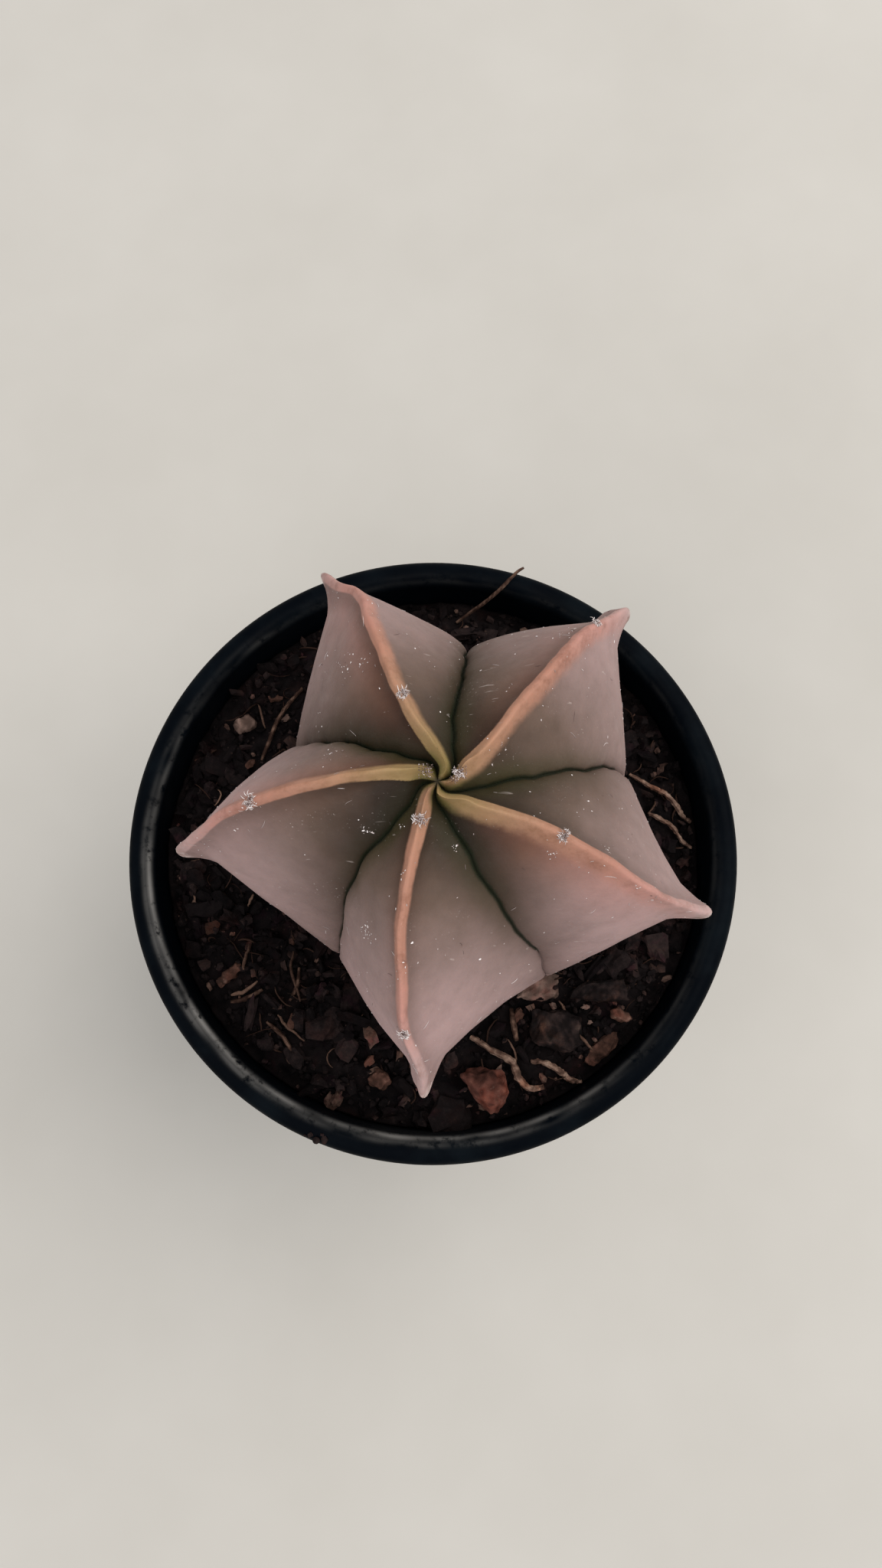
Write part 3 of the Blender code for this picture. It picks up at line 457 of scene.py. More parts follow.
class Material:
    """A node material in the making."""

    def __init__(self, name):
        self.material = bpy.data.materials.new(name)
        self.material.use_nodes = True
        self.tree = self.material.node_tree
        self.shader = next(n for n in self.tree.nodes if n.type == "BSDF_PRINCIPLED")
        self.relief = None

    def feed(self, socket, value):
        """Links a socket to a value, or sets it to a number or a colour."""
        if isinstance(value, Value):
            self.tree.links.new(value.socket, socket)
        else:
            socket.default_value = (*value, 1) if socket.type == "RGBA" else value

    def node(self, kind, inputs, output=0, **settings):
        """One output of a new node, whose inputs are set or linked."""
        made = self.tree.nodes.new("ShaderNode" + kind)
        for name, value in settings.items():
            setattr(made, name, value)
        for key, value in inputs.items():
            self.feed(made.inputs[key], value)
        return Value(self, made.outputs[output])

    def value(self, name):
        """A number that the mesh holds for each vertex."""
        return self.node("Attribute", {}, "Fac", attribute_name=name)

    def math(self, operation, a, b):
        """A sum, difference or product."""
        return self.node("Math", {0: a, 1: b}, operation=operation)

    def remap(self, value, low, high, to_low=0.0, to_high=1.0):
        """A value moved smoothly from one range to another."""
        inputs = {"Value": value, "From Min": low, "From Max": high, "To Min": to_low, "To Max": to_high}
        return self.node("MapRange", inputs, interpolation_type="SMOOTHSTEP")

    def noise(self, scale, detail, roughness, distortion=0.0, stretch=None):
        """Cloudy noise with scale features to the metre."""
        vector = self.node("TexCoord", {}, "Object")
        if stretch:
            vector = self.node("Mapping", {"Vector": vector, "Scale": stretch})
        inputs = {"Vector": vector, "Scale": scale, "Detail": detail, "Roughness": roughness,
                  "Distortion": distortion}
        return self.node("TexNoise", inputs, "Fac")

    def ramp(self, value, stops):
        """Colours along a value."""
        made = self.node("ValToRGB", {"Fac": value}, "Color")
        elements = made.socket.node.color_ramp.elements
        while len(elements) < len(stops):
            elements.new(0.5)
        for element, (position, *colour) in zip(elements, stops):
            element.position = position
            element.color = (*colour, 1)
        return made

    def mix(self, share, a, b, blend="MIX"):
        """Colour b laid over colour a by a share."""
        return self.node("Mix", {0: share, 6: a, 7: b}, 2, data_type="RGBA", blend_type=blend)

    def tint(self, a, b):
        """Two colours multiplied."""
        return self.mix(1.0, a, b, "MULTIPLY")

    def bump(self, height, strength, distance):
        """Relief on top of what there is, with a distance in metres."""
        inputs = {"Height": height, "Strength": strength, "Distance": distance}
        if self.relief:
            inputs["Normal"] = self.relief
        self.relief = self.node("Bump", inputs)

    def finish(self, **inputs):
        """Sets or links the shader's own sockets, and gives the finished material."""
        for name, value in inputs.items():
            self.feed(self.shader.inputs[name.replace("_", " ")], value)
        if self.relief:
            self.feed(self.shader.inputs["Normal"], self.relief)
        return self.material


def skin_material():
    """The plant's skin: olive at the heart, mauve to pink outside, with warm stripes and dark grooves;
    painted light and shade make the lit flanks paler and the crown, the crests' shaded sides, the valleys and
    the grooves darker.
    """
    m = Material("cactus_skin")
    reach = m.value("reach")
    below = m.value("below")
    valley = m.value("valley")
    cloud = m.noise(90, 4, 0.6) - 0.5
    rough = m.noise(700, 4, 0.65) - 0.5
    soft_reach = reach + cloud * 8.0
    # Darker near the crown: the skin's own olive, partly painted shade of the sunken crown; the tone pales
    # the lit flanks as painted light
    colour = m.ramp((soft_reach + m.value("tone") * 16.0) * (1 / 42), (
        (0.08, 0.022, 0.014, 0.007), (0.2, 0.036, 0.022, 0.012), (0.38, 0.104, 0.067, 0.05),
        (0.58, 0.222, 0.15, 0.136), (0.78, 0.34, 0.228, 0.217), (1.0, 0.41, 0.276, 0.264)))
    colour = m.tint(colour, m.ramp(m.noise(420, 5, 0.65), (
        (0.3, 0.9, 0.9, 0.89), (0.5, 1.0, 1.0, 1.0), (0.72, 1.08, 1.07, 1.06))))
    colour = m.mix(m.value("warm") * 0.9, colour, m.tint(colour, (1.55, 0.98, 0.8)))
    # Dark olive by the valleys near the crown: partly the skin's green, partly painted shade in the creases
    crease_olive_and_shade = m.remap(valley, 4.0, 1.0) * m.remap(reach, 26.0, 8.0)
    colour = m.mix(crease_olive_and_shade * 0.4, colour, (0.05, 0.046, 0.014))
    # Painted shade beside the crests on the shaded sides and by the valleys
    shade = m.value("shade") * (cloud * 0.8 + 1.0)
    colour = m.mix(shade * 0.96, colour, m.tint(colour, (0.22, 0.17, 0.12)))
    # A dark line of painted shade in each groove
    groove_shade = m.remap(m.value("groove_shade") + rough * 0.9, 1.35, 0.35)
    colour = m.mix(groove_shade * 0.92, colour, (0.01, 0.013, 0.005))
    colour = m.mix(m.remap(below, 0.05, 0.7) * 0.7, colour, (0.155, 0.15, 0.098))
    cork = m.remap(below + rough * 0.5, 0.78, 1.0)
    colour = m.mix(cork * 0.85, colour, (0.165, 0.115, 0.07))

    stripe = m.ramp(soft_reach * (1 / 40), (
        (0.04, 0.35, 0.19, 0.115), (0.2, 0.365, 0.18, 0.118), (0.5, 0.345, 0.162, 0.112),
        (0.68, 0.4, 0.198, 0.162), (0.86, 0.395, 0.262, 0.245)))
    stripe = m.tint(stripe, m.ramp(m.noise(330, 4, 0.7), (
        (0.32, 0.72, 0.66, 0.62), (0.5, 1.0, 1.0, 1.0), (0.7, 1.12, 1.06, 1.05))))
    stripe = m.mix(m.remap(below, 0.1, 0.9) * 0.6, stripe, (0.26, 0.19, 0.13))
    stripe = m.mix(m.value("young") * (cloud + 0.9), stripe, (0.265, 0.205, 0.066))
    green = m.remap(valley + cloud * 2.0, 2.6, 0.9) * m.remap(soft_reach, 9.0, 2.5)
    stripe = m.mix(green * 0.8, stripe, (0.115, 0.11, 0.03))
    edge = m.remap(m.value("stripe") + rough * 0.55, 1.0, 0.0)
    colour = m.mix(edge * 0.9, colour, stripe)

    horn = m.ramp(m.noise(520, 4, 0.7) + below * 0.35, (
        (0.36, 0.15, 0.086, 0.066), (0.48, 0.34, 0.232, 0.208), (0.6, 0.54, 0.43, 0.4)))
    colour = m.mix(m.remap(m.value("tip") + rough * 0.6, 0.22, 0.62) * 0.8, colour, horn)
    flecks = m.remap(m.noise(3300, 2, 0.5), 0.66, 0.76) * m.remap(m.noise(130, 2, 0.5), 0.52, 0.7)
    colour = m.mix(flecks * 0.45, colour, (0.5, 0.43, 0.39))
    scratches = m.remap(m.noise(210, 2, 0.5, 0.4, (1, 9, 4)), 0.7, 0.75)
    colour = m.mix(scratches * m.remap(m.noise(70, 1, 0.5), 0.5, 0.6) * 0.3, colour, (0.5, 0.42, 0.38))
    m.bump(m.noise(2600, 3, 0.6), 0.35, 0.1 * MM)
    m.bump(m.noise(320, 4, 0.55), 0.5, 0.28 * MM)
    return m.finish(Base_Color=colour, Roughness=m.remap(m.noise(380, 3, 0.6), 0.3, 0.7, 0.5, 0.72),
                    Specular_IOR_Level=0.22, Subsurface_Weight=0.06, Subsurface_Scale=0.8 * MM,
                    Subsurface_Radius=(1.0, 0.45, 0.25))


def wool_material():
    """Grey-white wool of the areoles."""
    m = Material("areole_wool")
    colour = m.ramp(m.value("tone"), (
        (0.0, 0.045, 0.026, 0.022), (0.35, 0.15, 0.1, 0.09), (0.7, 0.4, 0.33, 0.31),
        (1.0, 0.72, 0.66, 0.64)))
    return m.finish(Base_Color=colour, Roughness=0.9, Specular_IOR_Level=0.15)


def plastic_material():
    """Black plastic, light grey on the lip's inner edge from wear and a painted glint, with scratches and
    dust low on the wall.
    """
    m = Material("pot_plastic")
    outside = m.value("outside")
    # Light grey on the lip's inner edge: partly real wear, partly a painted glint of the light
    wear_and_glint = m.value("lip") * m.remap(m.noise(620, 4, 0.65), 0.28, 0.5)
    colour = m.mix(wear_and_glint * 0.95, (0.0011, 0.0018, 0.003), (0.29, 0.275, 0.255))
    haze = m.remap(m.noise(120, 4, 0.6), 0.4, 0.75) * m.value("rim")
    colour = m.mix(haze * 0.18, colour, (0.01, 0.016, 0.02))
    scratches = m.remap(m.noise(60, 3, 0.6, 0.3, (1, 1, 26)), 0.62, 0.72) * outside
    colour = m.mix(scratches * 0.3, colour, (0.016, 0.018, 0.019))
    dust = m.remap(m.noise(95, 5, 0.65), 0.55, 0.8) * outside
    colour = m.mix(dust * 0.3, colour, (0.034, 0.03, 0.026))
    m.bump(m.noise(1500, 3, 0.6), 0.25, 0.06 * MM)
    m.bump(m.noise(140, 3, 0.5), 0.3, 0.12 * MM)
    return m.finish(Base_Color=colour, Roughness=m.remap(m.noise(300, 4, 0.6), 0.3, 0.75, 0.33, 0.55),
                    Specular_IOR_Level=0.015)


def grain_material(name, stops, scale, relief, hues):
    """Bark, coir and soil: colours along each bit's own tone, a fine grain and blotches of other hues."""
    m = Material(name)
    colour = m.ramp(m.value("tone") + (m.noise(scale, 5, 0.7) - 0.5) * 0.75, stops)
    for hue, (size, distortion, low, high) in zip(hues, BLOTCHES):
        share = m.remap(m.noise(size, 4, 0.6, distortion), low, high)
        colour = m.mix(share * 0.85, colour, m.tint(colour, hue))
    flecks = m.remap(m.noise(1900, 3, 0.6), 0.62, 0.74) * m.remap(m.noise(160, 2, 0.5), 0.5, 0.66)
    colour = m.mix(flecks * 0.35, colour, stops[-1][1:])
    m.bump(m.noise(scale * 1.7, 4, 0.65), 0.7, relief * 0.5 * MM)
    m.bump(m.noise(scale * 0.45, 4, 0.6), 0.8, relief * MM)
    return m.finish(Base_Color=colour, Roughness=0.88, Specular_IOR_Level=0.03)


def floor_material():
    """Plain pale floor with the faintest mottling."""
    m = Material("floor")
    colour = m.ramp(m.noise(14, 4, 0.6), ((0.3, 0.43, 0.405, 0.365), (0.7, 0.465, 0.44, 0.4)))
    return m.finish(Base_Color=colour, Roughness=0.85, Specular_IOR_Level=0.2)


def make_materials():
    """Fills the table of the pieces' materials."""
    for kind, row in GRAINS.items():
        MATERIALS[kind] = grain_material(*row)
    MATERIALS.update(cactus=skin_material(), wool=wool_material(), pot=plastic_material())


def ring_stations(top, side, root):
    """Where the plant's rings lie: 0 at the crown, 1 at the tips, 2 at the soil, 3 at the root's end."""
    upper = 0.5 - 0.5 * np.cos(np.linspace(0, math.pi, top + 1))
    return np.concatenate([upper, 1 + np.arange(1, side + 1) / side, 2 + np.arange(1, root + 1) / root])


def meridian(stations, reach, start, level, top, power, foot):
    """Distance from the axis and height along a crest or a valley, from the crown to the root."""
    share = np.sin(np.clip(stations, 0, 1) * math.pi / 2) ** (2 / CREST_POWER)
    side = np.clip(stations - 1, 0, 1)
    root = np.clip(stations - 2, 0, 1)
    radius = start + (reach - start) * share
    radius = radius * (1 - (1 - foot) * side ** SIDE_POWER)
    radius = radius + (ROOT_RADIUS - foot * reach) * root * root * (3 - 2 * root)
    height = level + (top - level) * np.maximum(1 - share ** power, 0) ** (1 / power)
    height = height + (SOIL_LEVEL - level) * side - ROOT_DEPTH * root
    return radius, height


def line_in_space(radius, height, azimuths):
    """Points of a crest or a valley, round the plant's leaning axis."""
    azimuth = np.radians(curve_through(radius / MM, STATIONS, azimuths))
    lean = np.maximum(height - TIP_LEVEL, 0)[:, None] * PLANT_LEAN
    flat = np.stack([radius * np.cos(azimuth), radius * np.sin(azimuth), height], axis=1)
    return flat + lean + PLANT_AXIS


def from_axis(points):
    """Where points lie from the plant's leaning axis."""
    return points - PLANT_AXIS - np.maximum(points[..., 2:] - TIP_LEVEL, 0) * PLANT_LEAN


def outward(radius, height, points):
    """Directions that point straight out of a crest, in the plane of the axis."""
    out = unit(from_axis(points) * (1, 1, 0)) * -np.gradient(height)[:, None]
    out[:, 2] = np.gradient(radius)
    return unit(out)


def crease_slope(valley, before, after):
    """How steeply a cheek may rise from a valley so that the two cheeks nearly touch, along each flank."""
    along = unit(np.gradient(valley, axis=0))
    spans = [before - valley, after - valley]
    across = [span - along * np.sum(span * along, axis=1)[:, None] for span in spans]
    cosine = np.sum(unit(across[0]) * unit(across[1]), axis=1)
    steepness = CREASE_CLOSURE * np.tan(np.arccos(np.clip(cosine, -0.95, 0.99)) / 2)
    return [steepness * np.linalg.norm(a, axis=1) / np.linalg.norm(s, axis=1) for a, s in zip(across, spans)]


def flank(crest, valley, out, side, fullness, cheek, slope, stations):
    """Points from a crest to a valley on every ring, and each point's distances to both in mm."""
    span = valley - crest
    length = np.linalg.norm(span, axis=1)
    steps = [np.minimum(far * MM, FLANK_NEAR_SHARE * i * length) for i, far in enumerate(FLANK_NEAR)]
    steps += [share * length for share in FLANK_FAR]
    distance = np.stack(steps, axis=1)
    share = distance / length[:, None]
    fit = np.minimum(length / SMALL_FLANK, 1)[:, None]
    below = np.clip(stations - 1, 0, 1)[:, None]
    nose = np.exp(-((crest[:, 2] - TIP_LEVEL) / NOSE_SPREAD) ** 2)[:, None]
    width = KEEL_WIDTH + NOSE_WIDTH * nose
    rise = (KEEL_HEIGHT + NOSE_LENGTH * nose) * np.exp(-(distance / width) ** 2)
    rounding = KEEL_ROUND * (np.sqrt((distance / KEEL_WIDTH) ** 2 + 1) - distance / KEEL_WIDTH)
    keel = (rise - rounding) * fit * np.clip(3 - 1.5 * stations, 0, 1)[:, None]
    depth = cheek * (1 - below) + 0.01 * MM
    climb = slope[:, None] * (length[:, None] - distance)
    full = depth * (1 - np.exp(-climb / depth)) * share ** 2
    full = full + fullness * np.minimum(length / BROAD_FLANK, 1)[:, None] ** 2 * 4 * share * (1 - share)
    downhill = np.gradient((crest + valley) / 2, axis=0)
    normal = unit(np.cross(downhill, span)) * side
    points = crest[:, None, :] + span[:, None, :] * share[:, :, None]
    points = points + out[:, None, :] * keel[:, :, None] + normal[:, None, :] * full[:, :, None]
    return points, distance / MM, (length[:, None] - distance) / MM


def plant_lines(stations):
    """Crests with their outward directions and distances from the axis, and valleys, on all stations."""
    crests = []
    valleys = []
    for reach, _, azimuths in RIBS:
        inner = reach * MM - NOSE_LENGTH - KEEL_HEIGHT + KEEL_ROUND
        radius, height = meridian(stations, inner, CREST_START, TIP_LEVEL, CREST_TOP, CREST_POWER, CREST_FOOT)
        points = line_in_space(radius, height, azimuths)
        crests.append((points, outward(radius, height, points), radius))
    for reach, _, azimuths in VALLEYS:
        radius, height = meridian(stations, reach * MM, VALLEY_START, VALLEY_LEVEL, VALLEY_TOP, VALLEY_POWER,
                                  VALLEY_FOOT)
        valleys.append(line_in_space(radius, height, azimuths))
    return crests, valleys


def small_bends(points, row, bends):
    """How far points of a line or a surface are moved aside, from rows of pitch, seed and size."""
    return sum(ripple(points, pitch * MM, seed + row) * size * MM for pitch, seed, size in bends)[..., None]


def plant_surface(stations):
    """The plant's rings, with each point's distances to the crest and the valley and its flank's number."""
    crests, valleys = plant_lines(stations)
    slopes = [crease_slope(valley, crests[i][0], crests[(i + 1) % len(crests)][0])
              for i, valley in enumerate(valleys)]
    grown = (np.clip(stations * 3, 0, 1) * np.clip(3 - 1.5 * stations, 0, 1))[:, None]
    for i, valley in enumerate(valleys):
        side = unit(np.cross(unit(np.gradient(valley, axis=0)), (0.0, 0.0, 1.0)))
        valleys[i] = valley + side * small_bends(valley, i, VALLEY_BENDS) * grown
    strips = []
    for i, (crest, out, _) in enumerate(crests):
        side = np.cross(out, unit(np.gradient(crest, axis=0)))
        upward = small_bends(crest, i, CREST_BUMPS) - CREST_BUMPS[0][2] * MM
        crest = crest + (side * small_bends(crest, i, CREST_BENDS) + out * upward) * grown
        for hand, near in enumerate((i - 1, i)):
            points, to_crest, to_valley = flank(
                crest, valleys[near], out, 2 * hand - 1, RIBS[i][1][hand] * MM, VALLEYS[near][1] * MM,
                slopes[near][1 - hand], stations)
            strip = np.dstack([points, to_crest, to_valley, np.full(to_crest.shape, 2 * i + hand)])
            strips.append(strip if hand else strip[:, -2:0:-1])
    return np.concatenate(strips, axis=1)


def flank_looks(crest, valley, number, reach):
    """What the skin's material reads for each point, from its distances in mm and its flank's number."""
    looks = np.array([flank for rib in FLANKS for flank in rib])[number]
    lit_pale, warm, warm_width, fade, crest_shade, valley_shade, shade_width = np.moveaxis(looks, -1, 0)
    groove_width, groove_end = np.moveaxis(np.array(GROOVES)[((number + 1) // 2 - 1) % len(GROOVES)], -1, 0)
    core = STRIPE_CORE + BULB_CORE * np.exp(-(reach / BULB_REACH) ** 2)
    beside = np.maximum(crest - core, 0)
    valley_shade_share = np.exp(-(valley / shade_width) ** 2) * np.clip(1.35 - reach / 30, 0.3, 1)
    return {
        # tone: paler on the lit flanks, painted light
        "tone": lit_pale * np.clip(crest / 2.5, 0, 1) * np.clip(valley / 3.0, 0, 1),
        "young": np.array(YOUNG)[number // 2] * np.exp(-(reach / YOUNG_REACH) ** 2),
        "warm": warm * np.exp(-(crest / warm_width) ** 2) * np.clip(1.5 - reach / 22, 0.12, 1),
        "stripe": beside / fade,
        # shade: painted shade beside the crest on the shaded side and by the valleys, stronger near the crown
        "shade": np.maximum(1.25 * crest_shade * np.exp(-(beside / 2.4) ** 2), valley_shade * valley_shade_share),
        # groove: a line of painted shade along each valley's crease
        "groove_shade": (valley / (groove_width * np.clip(1.25 - reach / 40, 0.5, 1))
                   + 4 * np.clip((reach - groove_end) / 2.5, 0, 1)),
    }


def make_cactus():
    """The plant's body as a fine closed skin, with small dents and swellings."""
    stations = ring_stations(*PLANT_RINGS)
    surface = plant_surface(stations)
    rings = surface[:, :, :3]
    crest, valley, number = np.moveaxis(surface[:, :, 3:], -1, 0)
    around = (np.roll(rings, -1, axis=1) - np.roll(rings, 1, axis=1)) / 2
    normal = unit(np.cross(np.gradient(rings, axis=0), around))
    calm = np.clip(valley / 2.5, 0, 1) * np.clip(crest / 1.5, 0.25, 1)
    rings = rings + normal * small_bends(rings, 0, SKIN_WAVES) * calm[:, :, None]
    for place, way, width in TIP_PULLS:
        far = np.linalg.norm(rings - np.array(place) * MM, axis=2) / (width * MM)
        rings = rings + np.exp(-far * far)[:, :, None] * np.array(way) * MM
    crown = PLANT_AXIS + PLANT_LEAN * (CROWN_FLOOR - TIP_LEVEL) + (0, 0, CROWN_FLOOR)
    obj = loft("cactus_body", rings, crown, PLANT_AXIS + (0, 0, SOIL_LEVEL - ROOT_DEPTH - MM))
    reach = np.maximum.accumulate(np.linalg.norm(from_axis(rings)[:, :, :2], axis=2) / MM, axis=0)
    at_tip = np.argmin(np.abs(stations - 1))
    from_tip = np.min([np.linalg.norm(rings - line[at_tip] - out[at_tip] * NOSE_LENGTH, axis=2)
                       for line, out, _ in plant_lines(stations)[0]], axis=0) / MM
    looks = flank_looks(crest, valley, number.astype(int), reach)
    looks.update(reach=reach, valley=valley, tip=np.exp(-(from_tip / 2.4) ** 2),
                 below=np.clip(stations - 1, 0, 1)[:, None] + 0 * crest)
    for name, numbers in looks.items():
        add_values(obj, name, np.concatenate([numbers.ravel(), [numbers[0].mean(), numbers[-1].mean()]]))
    finish_piece(obj, "cactus", "cactus")

    open_skin = ((stations < 1) & (stations > 0.12))[:, None]
    area = reach * np.gradient(stations)[:, None] * (open_skin & (crest > 0.6) & (valley > 1.2))
    make_flecks(rings, normal, open_skin, area)


def make_flecks(rings, normal, open_skin, area):
    """Pale flecks and lint on the upper skin, spread by its area and in clumps."""
    rng = np.random.default_rng(83)
    rows, columns = np.nonzero(area)
    chance = area[rows, columns] * np.clip(0.5 + 0.8 * ripple(rings[rows, columns], 4 * MM, 84), 0.03, 1)
    picked = rng.choice(len(rows), FLECK_COUNT + LINT_COUNT, p=chance / chance.sum(), replace=False)
    places = [rings[rows[picked], columns[picked]]]
    normals = [normal[rows[picked], columns[picked]]]
    flat = from_axis(rings)[:, :, :2] / MM
    for azimuth, distance, count, spread in FLECK_CLUMPS:
        angle = math.radians(azimuth)
        far = np.linalg.norm(flat - (distance * math.cos(angle), distance * math.sin(angle)), axis=2)
        near = np.unravel_index(np.argmin(np.where(open_skin, far, np.inf)), far.shape)
        up = normal[near]
        offset = rng.normal(size=(count, 3)) * spread * MM
        places.append(rings[near] + offset - (offset @ up)[:, None] * up)
        normals.append(np.tile(up, (count, 1)))
    places = np.concatenate(places)
    normals = np.concatenate(normals)
    first = unit(np.cross(normals, unit(rng.normal(size=normals.shape))))
    second = np.cross(normals, first)

    count = len(places) - LINT_COUNT
    size = rng.uniform(*FLECK_SIZES, count) * np.where(rng.uniform(size=count) < 0.1, 1.7, 1.0) * MM
    sizes = np.stack([size * rng.uniform(0.8, 2.2, count), size, size * 0.5], axis=1)
    turns = np.stack([first, second, normals], axis=2)[LINT_COUNT:]
    tones = np.clip(rng.normal(0.8, 0.25, count), 0.2, 1)
    centres = (places + normals * 0.02 * MM)[LINT_COUNT:]
    obj = rough_lumps("skin_flecks", centres, sizes, turns, tones, 1, 85, 0.8, 0.5)
    finish_piece(obj, "cactus", look="wool")

    places, normals, first, second = (a[:LINT_COUNT] for a in (places, normals, first, second))
    length = rng.uniform(*LINT_LENGTHS, LINT_COUNT)[:, None] * MM
    bend = rng.normal(0, 0.35, LINT_COUNT)[:, None]
    paths = np.stack([places + first * length * t + second * length * bend * (t * t - 0.1)
                      + normals * LINT_RISE for t in np.linspace(-0.5, 0.5, len(LINT_TAPER))], axis=1)
    radii = rng.uniform(*LINT_RADII, (LINT_COUNT, 1)) * MM * LINT_TAPER
    tones = np.clip(rng.normal(0.65, 0.25, LINT_COUNT), 0.1, 1)
    finish_piece(tubes("skin_lint", paths, radii, 4, tones), "cactus", look="wool")


def tubes(name, paths, radii, sides, tones):
    """Closed tubes in one mesh, along paths (tubes, points, 3), with radii (tubes, points) and tones."""
    count, points = paths.shape[:2]
    along = unit(np.gradient(paths, axis=1))
    guide = np.where(np.abs(along[..., 2:]) > 0.8, (1.0, 0.0, 0.0), (0.0, 0.0, 1.0))
    first = unit(np.cross(along, guide))
    second = np.cross(along, first)
    angles = np.arange(sides) * math.tau / sides
    spokes = first[:, :, None] * np.cos(angles)[:, None] + second[:, :, None] * np.sin(angles)[:, None]
    verts = paths[:, :, None] + spokes * radii[:, :, None, None]
    grid = np.arange(count * points * sides).reshape(count, points, sides)
    nexts = np.roll(grid, -1, axis=2)
    quads = np.stack([grid[:, :-1], nexts[:, :-1], nexts[:, 1:], grid[:, 1:]], axis=-1).reshape(-1, 4)
    obj = mesh_object(name, verts.reshape(-1, 3), (quads, grid[:, 0, ::-1], grid[:, -1]))
    add_values(obj, "tone", np.repeat(tones, points * sides))
    return obj


def areole_frames(crests, stations):
    """Each areole's place, outward direction, direction along the crest and size."""
    frames = []
    top = stations <= 1
    for row, (crest, out, radius) in enumerate(crests):
        along = unit(np.gradient(crest, axis=0))
        wanted = [(float(np.interp(d * MM, radius[top], stations[top])), size)
                  for r, d, size in AREOLES_ON_TOP if r == row]
        wanted += [(1 + share, 0.9) for share in AREOLES_BELOW]
        for station, size in wanted:
            i = int(np.argmin(np.abs(stations - station)))
            frames.append((crest[i], out[i], along[i], size))
    return frames


def make_wool():
    """Tufts of short wool on the areoles, and woolly grains in the crown and on the youngest areoles."""
    rng = np.random.default_rng(5)
    stations = ring_stations(400, 200, 2)
    crests = plant_lines(stations)[0]
    paths = []
    tones = []
    for place, out, along, size in areole_frames(crests, stations):
        across = np.cross(out, along)
        angle = rng.uniform(0, math.tau, TUFT_HAIRS)[:, None]
        share = np.sqrt(rng.uniform(0, 1, TUFT_HAIRS))
        spread = share[:, None] * TUFT_RADIUS * size * rng.uniform(0.75, 1.25)
        offset = along * np.cos(angle) * rng.uniform(0.8, 1.2) + across * np.sin(angle) * TUFT_BREADTH
        foot = place - out * HAIR_SINK + offset * spread
        aside, over = rng.normal(size=(2, TUFT_HAIRS, 1))
        lean = unit(along * aside + across * over * 0.8)
        length = rng.uniform(*HAIR_LENGTHS, TUFT_HAIRS)[:, None] * MM * size
        curl = unit(rng.normal(size=(TUFT_HAIRS, 3)))
        way = lean * 0.85 + curl * 0.4
        paths.append(np.stack([foot + (out * math.sin(t * 2.4) * 0.62 + way * t * t) * length
                               for t in np.linspace(0, 1, len(HAIR_TAPER))], axis=1))
        tones.append(np.clip(rng.normal(0.35 + 0.6 * share, 0.16), 0, 1))
    paths = np.concatenate(paths)
    radii = HAIR_RADIUS * np.array(HAIR_TAPER) * np.ones((len(paths), 1))
    finish_piece(tubes("areole_wool", paths, radii, 4, np.concatenate(tones)), "cactus", look="wool")

    places = []
    tones = []
    for row, distance, tone, spread, count in WOOL_GRAINS:
        crest, out, radius = crests[row]
        i = int(np.argmin(np.abs(radius - distance * MM) + (stations > 1)))
        offset = np.clip(rng.normal(size=(count, 3)), -1.8, 1.8) * spread * 0.6 * MM
        offset -= (offset @ out[i])[:, None] * out[i]
        sink = GRAIN_SINK * (np.linalg.norm(offset, axis=1)[:, None] / MM) ** 2
        places.append(crest[i] + offset - out[i] * (rng.uniform(-0.02, 0.1, (count, 1)) * MM + sink))
        tones.append(np.clip(rng.normal(tone, 0.22, count), 0.05, 1))
    places = np.concatenate(places)
    count = len(places)
    sizes = rng.uniform(*GRAIN_SIZES, (count, 1)) * rng.uniform(0.6, 1.4, (count, 3)) * MM
    turns = turned(rng, count, 90)
    obj = rough_lumps("crown_wool", places, sizes, turns, np.concatenate(tones), 1, 87, 0.8, 0.6)
    finish_piece(obj, "cactus", look="wool")


def unit_ball(detail):
    """Vertices and triangles of a ball of radius one."""
    bm = bmesh.new()
    bmesh.ops.create_icosphere(bm, subdivisions=detail, radius=1)
    verts = places_of(bm.verts)
    faces = np.array([[v.index for v in f.verts] for f in bm.faces])
    bm.free()
    return verts, faces


def rough_lumps(name, centres, sizes, turns, tones, detail, seed, boxy, rough):
    """Many rough lumps in one mesh: boxy, dented, faceted balls with their own sizes and turns."""
    rng = np.random.default_rng(seed)
    ball, faces = unit_ball(detail)
    count = len(centres)
    shape = np.sign(ball) * np.abs(ball) ** boxy
    waves = rng.normal(size=(count, 5, 3)) * np.array((1.6, 2.2, 3.2, 4.6, 6.5))[:, None]
    phases = rng.uniform(0, math.tau, (count, 5))
    depth = np.array((1.0, 0.8, 0.5, 0.35, 0.25)) * rough * 0.5
    dents = np.sin(np.einsum("vk,nwk->nwv", ball, waves) + phases[:, :, None]) * depth[:, None]
    verts = shape[None] * (1 + dents.sum(axis=1))[:, :, None] * sizes[:, None, :]
    verts = np.einsum("nij,nvj->nvi", turns, verts) + centres[:, None, :]
    all_faces = faces[None] + (np.arange(count) * len(ball))[:, None, None]
    obj = mesh_object(name, verts.reshape(-1, 3), (all_faces.reshape(-1, 3),), False)
    add_values(obj, "tone", np.repeat(tones, len(ball)))
    return obj


def turns_of(azimuth, pitch, roll):
    """Rotation matrices: a roll, then a pitch, then a turn about the upright, all in radians."""
    made = np.tile(np.eye(3), (3, len(azimuth), 1, 1))
    for k, (a, i, j) in enumerate(((azimuth, 0, 1), (pitch, 0, 2), (roll, 1, 2))):
        made[k, :, i, i] = made[k, :, j, j] = np.cos(a)
        made[k, :, i, j] = -np.sin(a)
        made[k, :, j, i] = np.sin(a)
    return made[0] @ made[1] @ made[2]


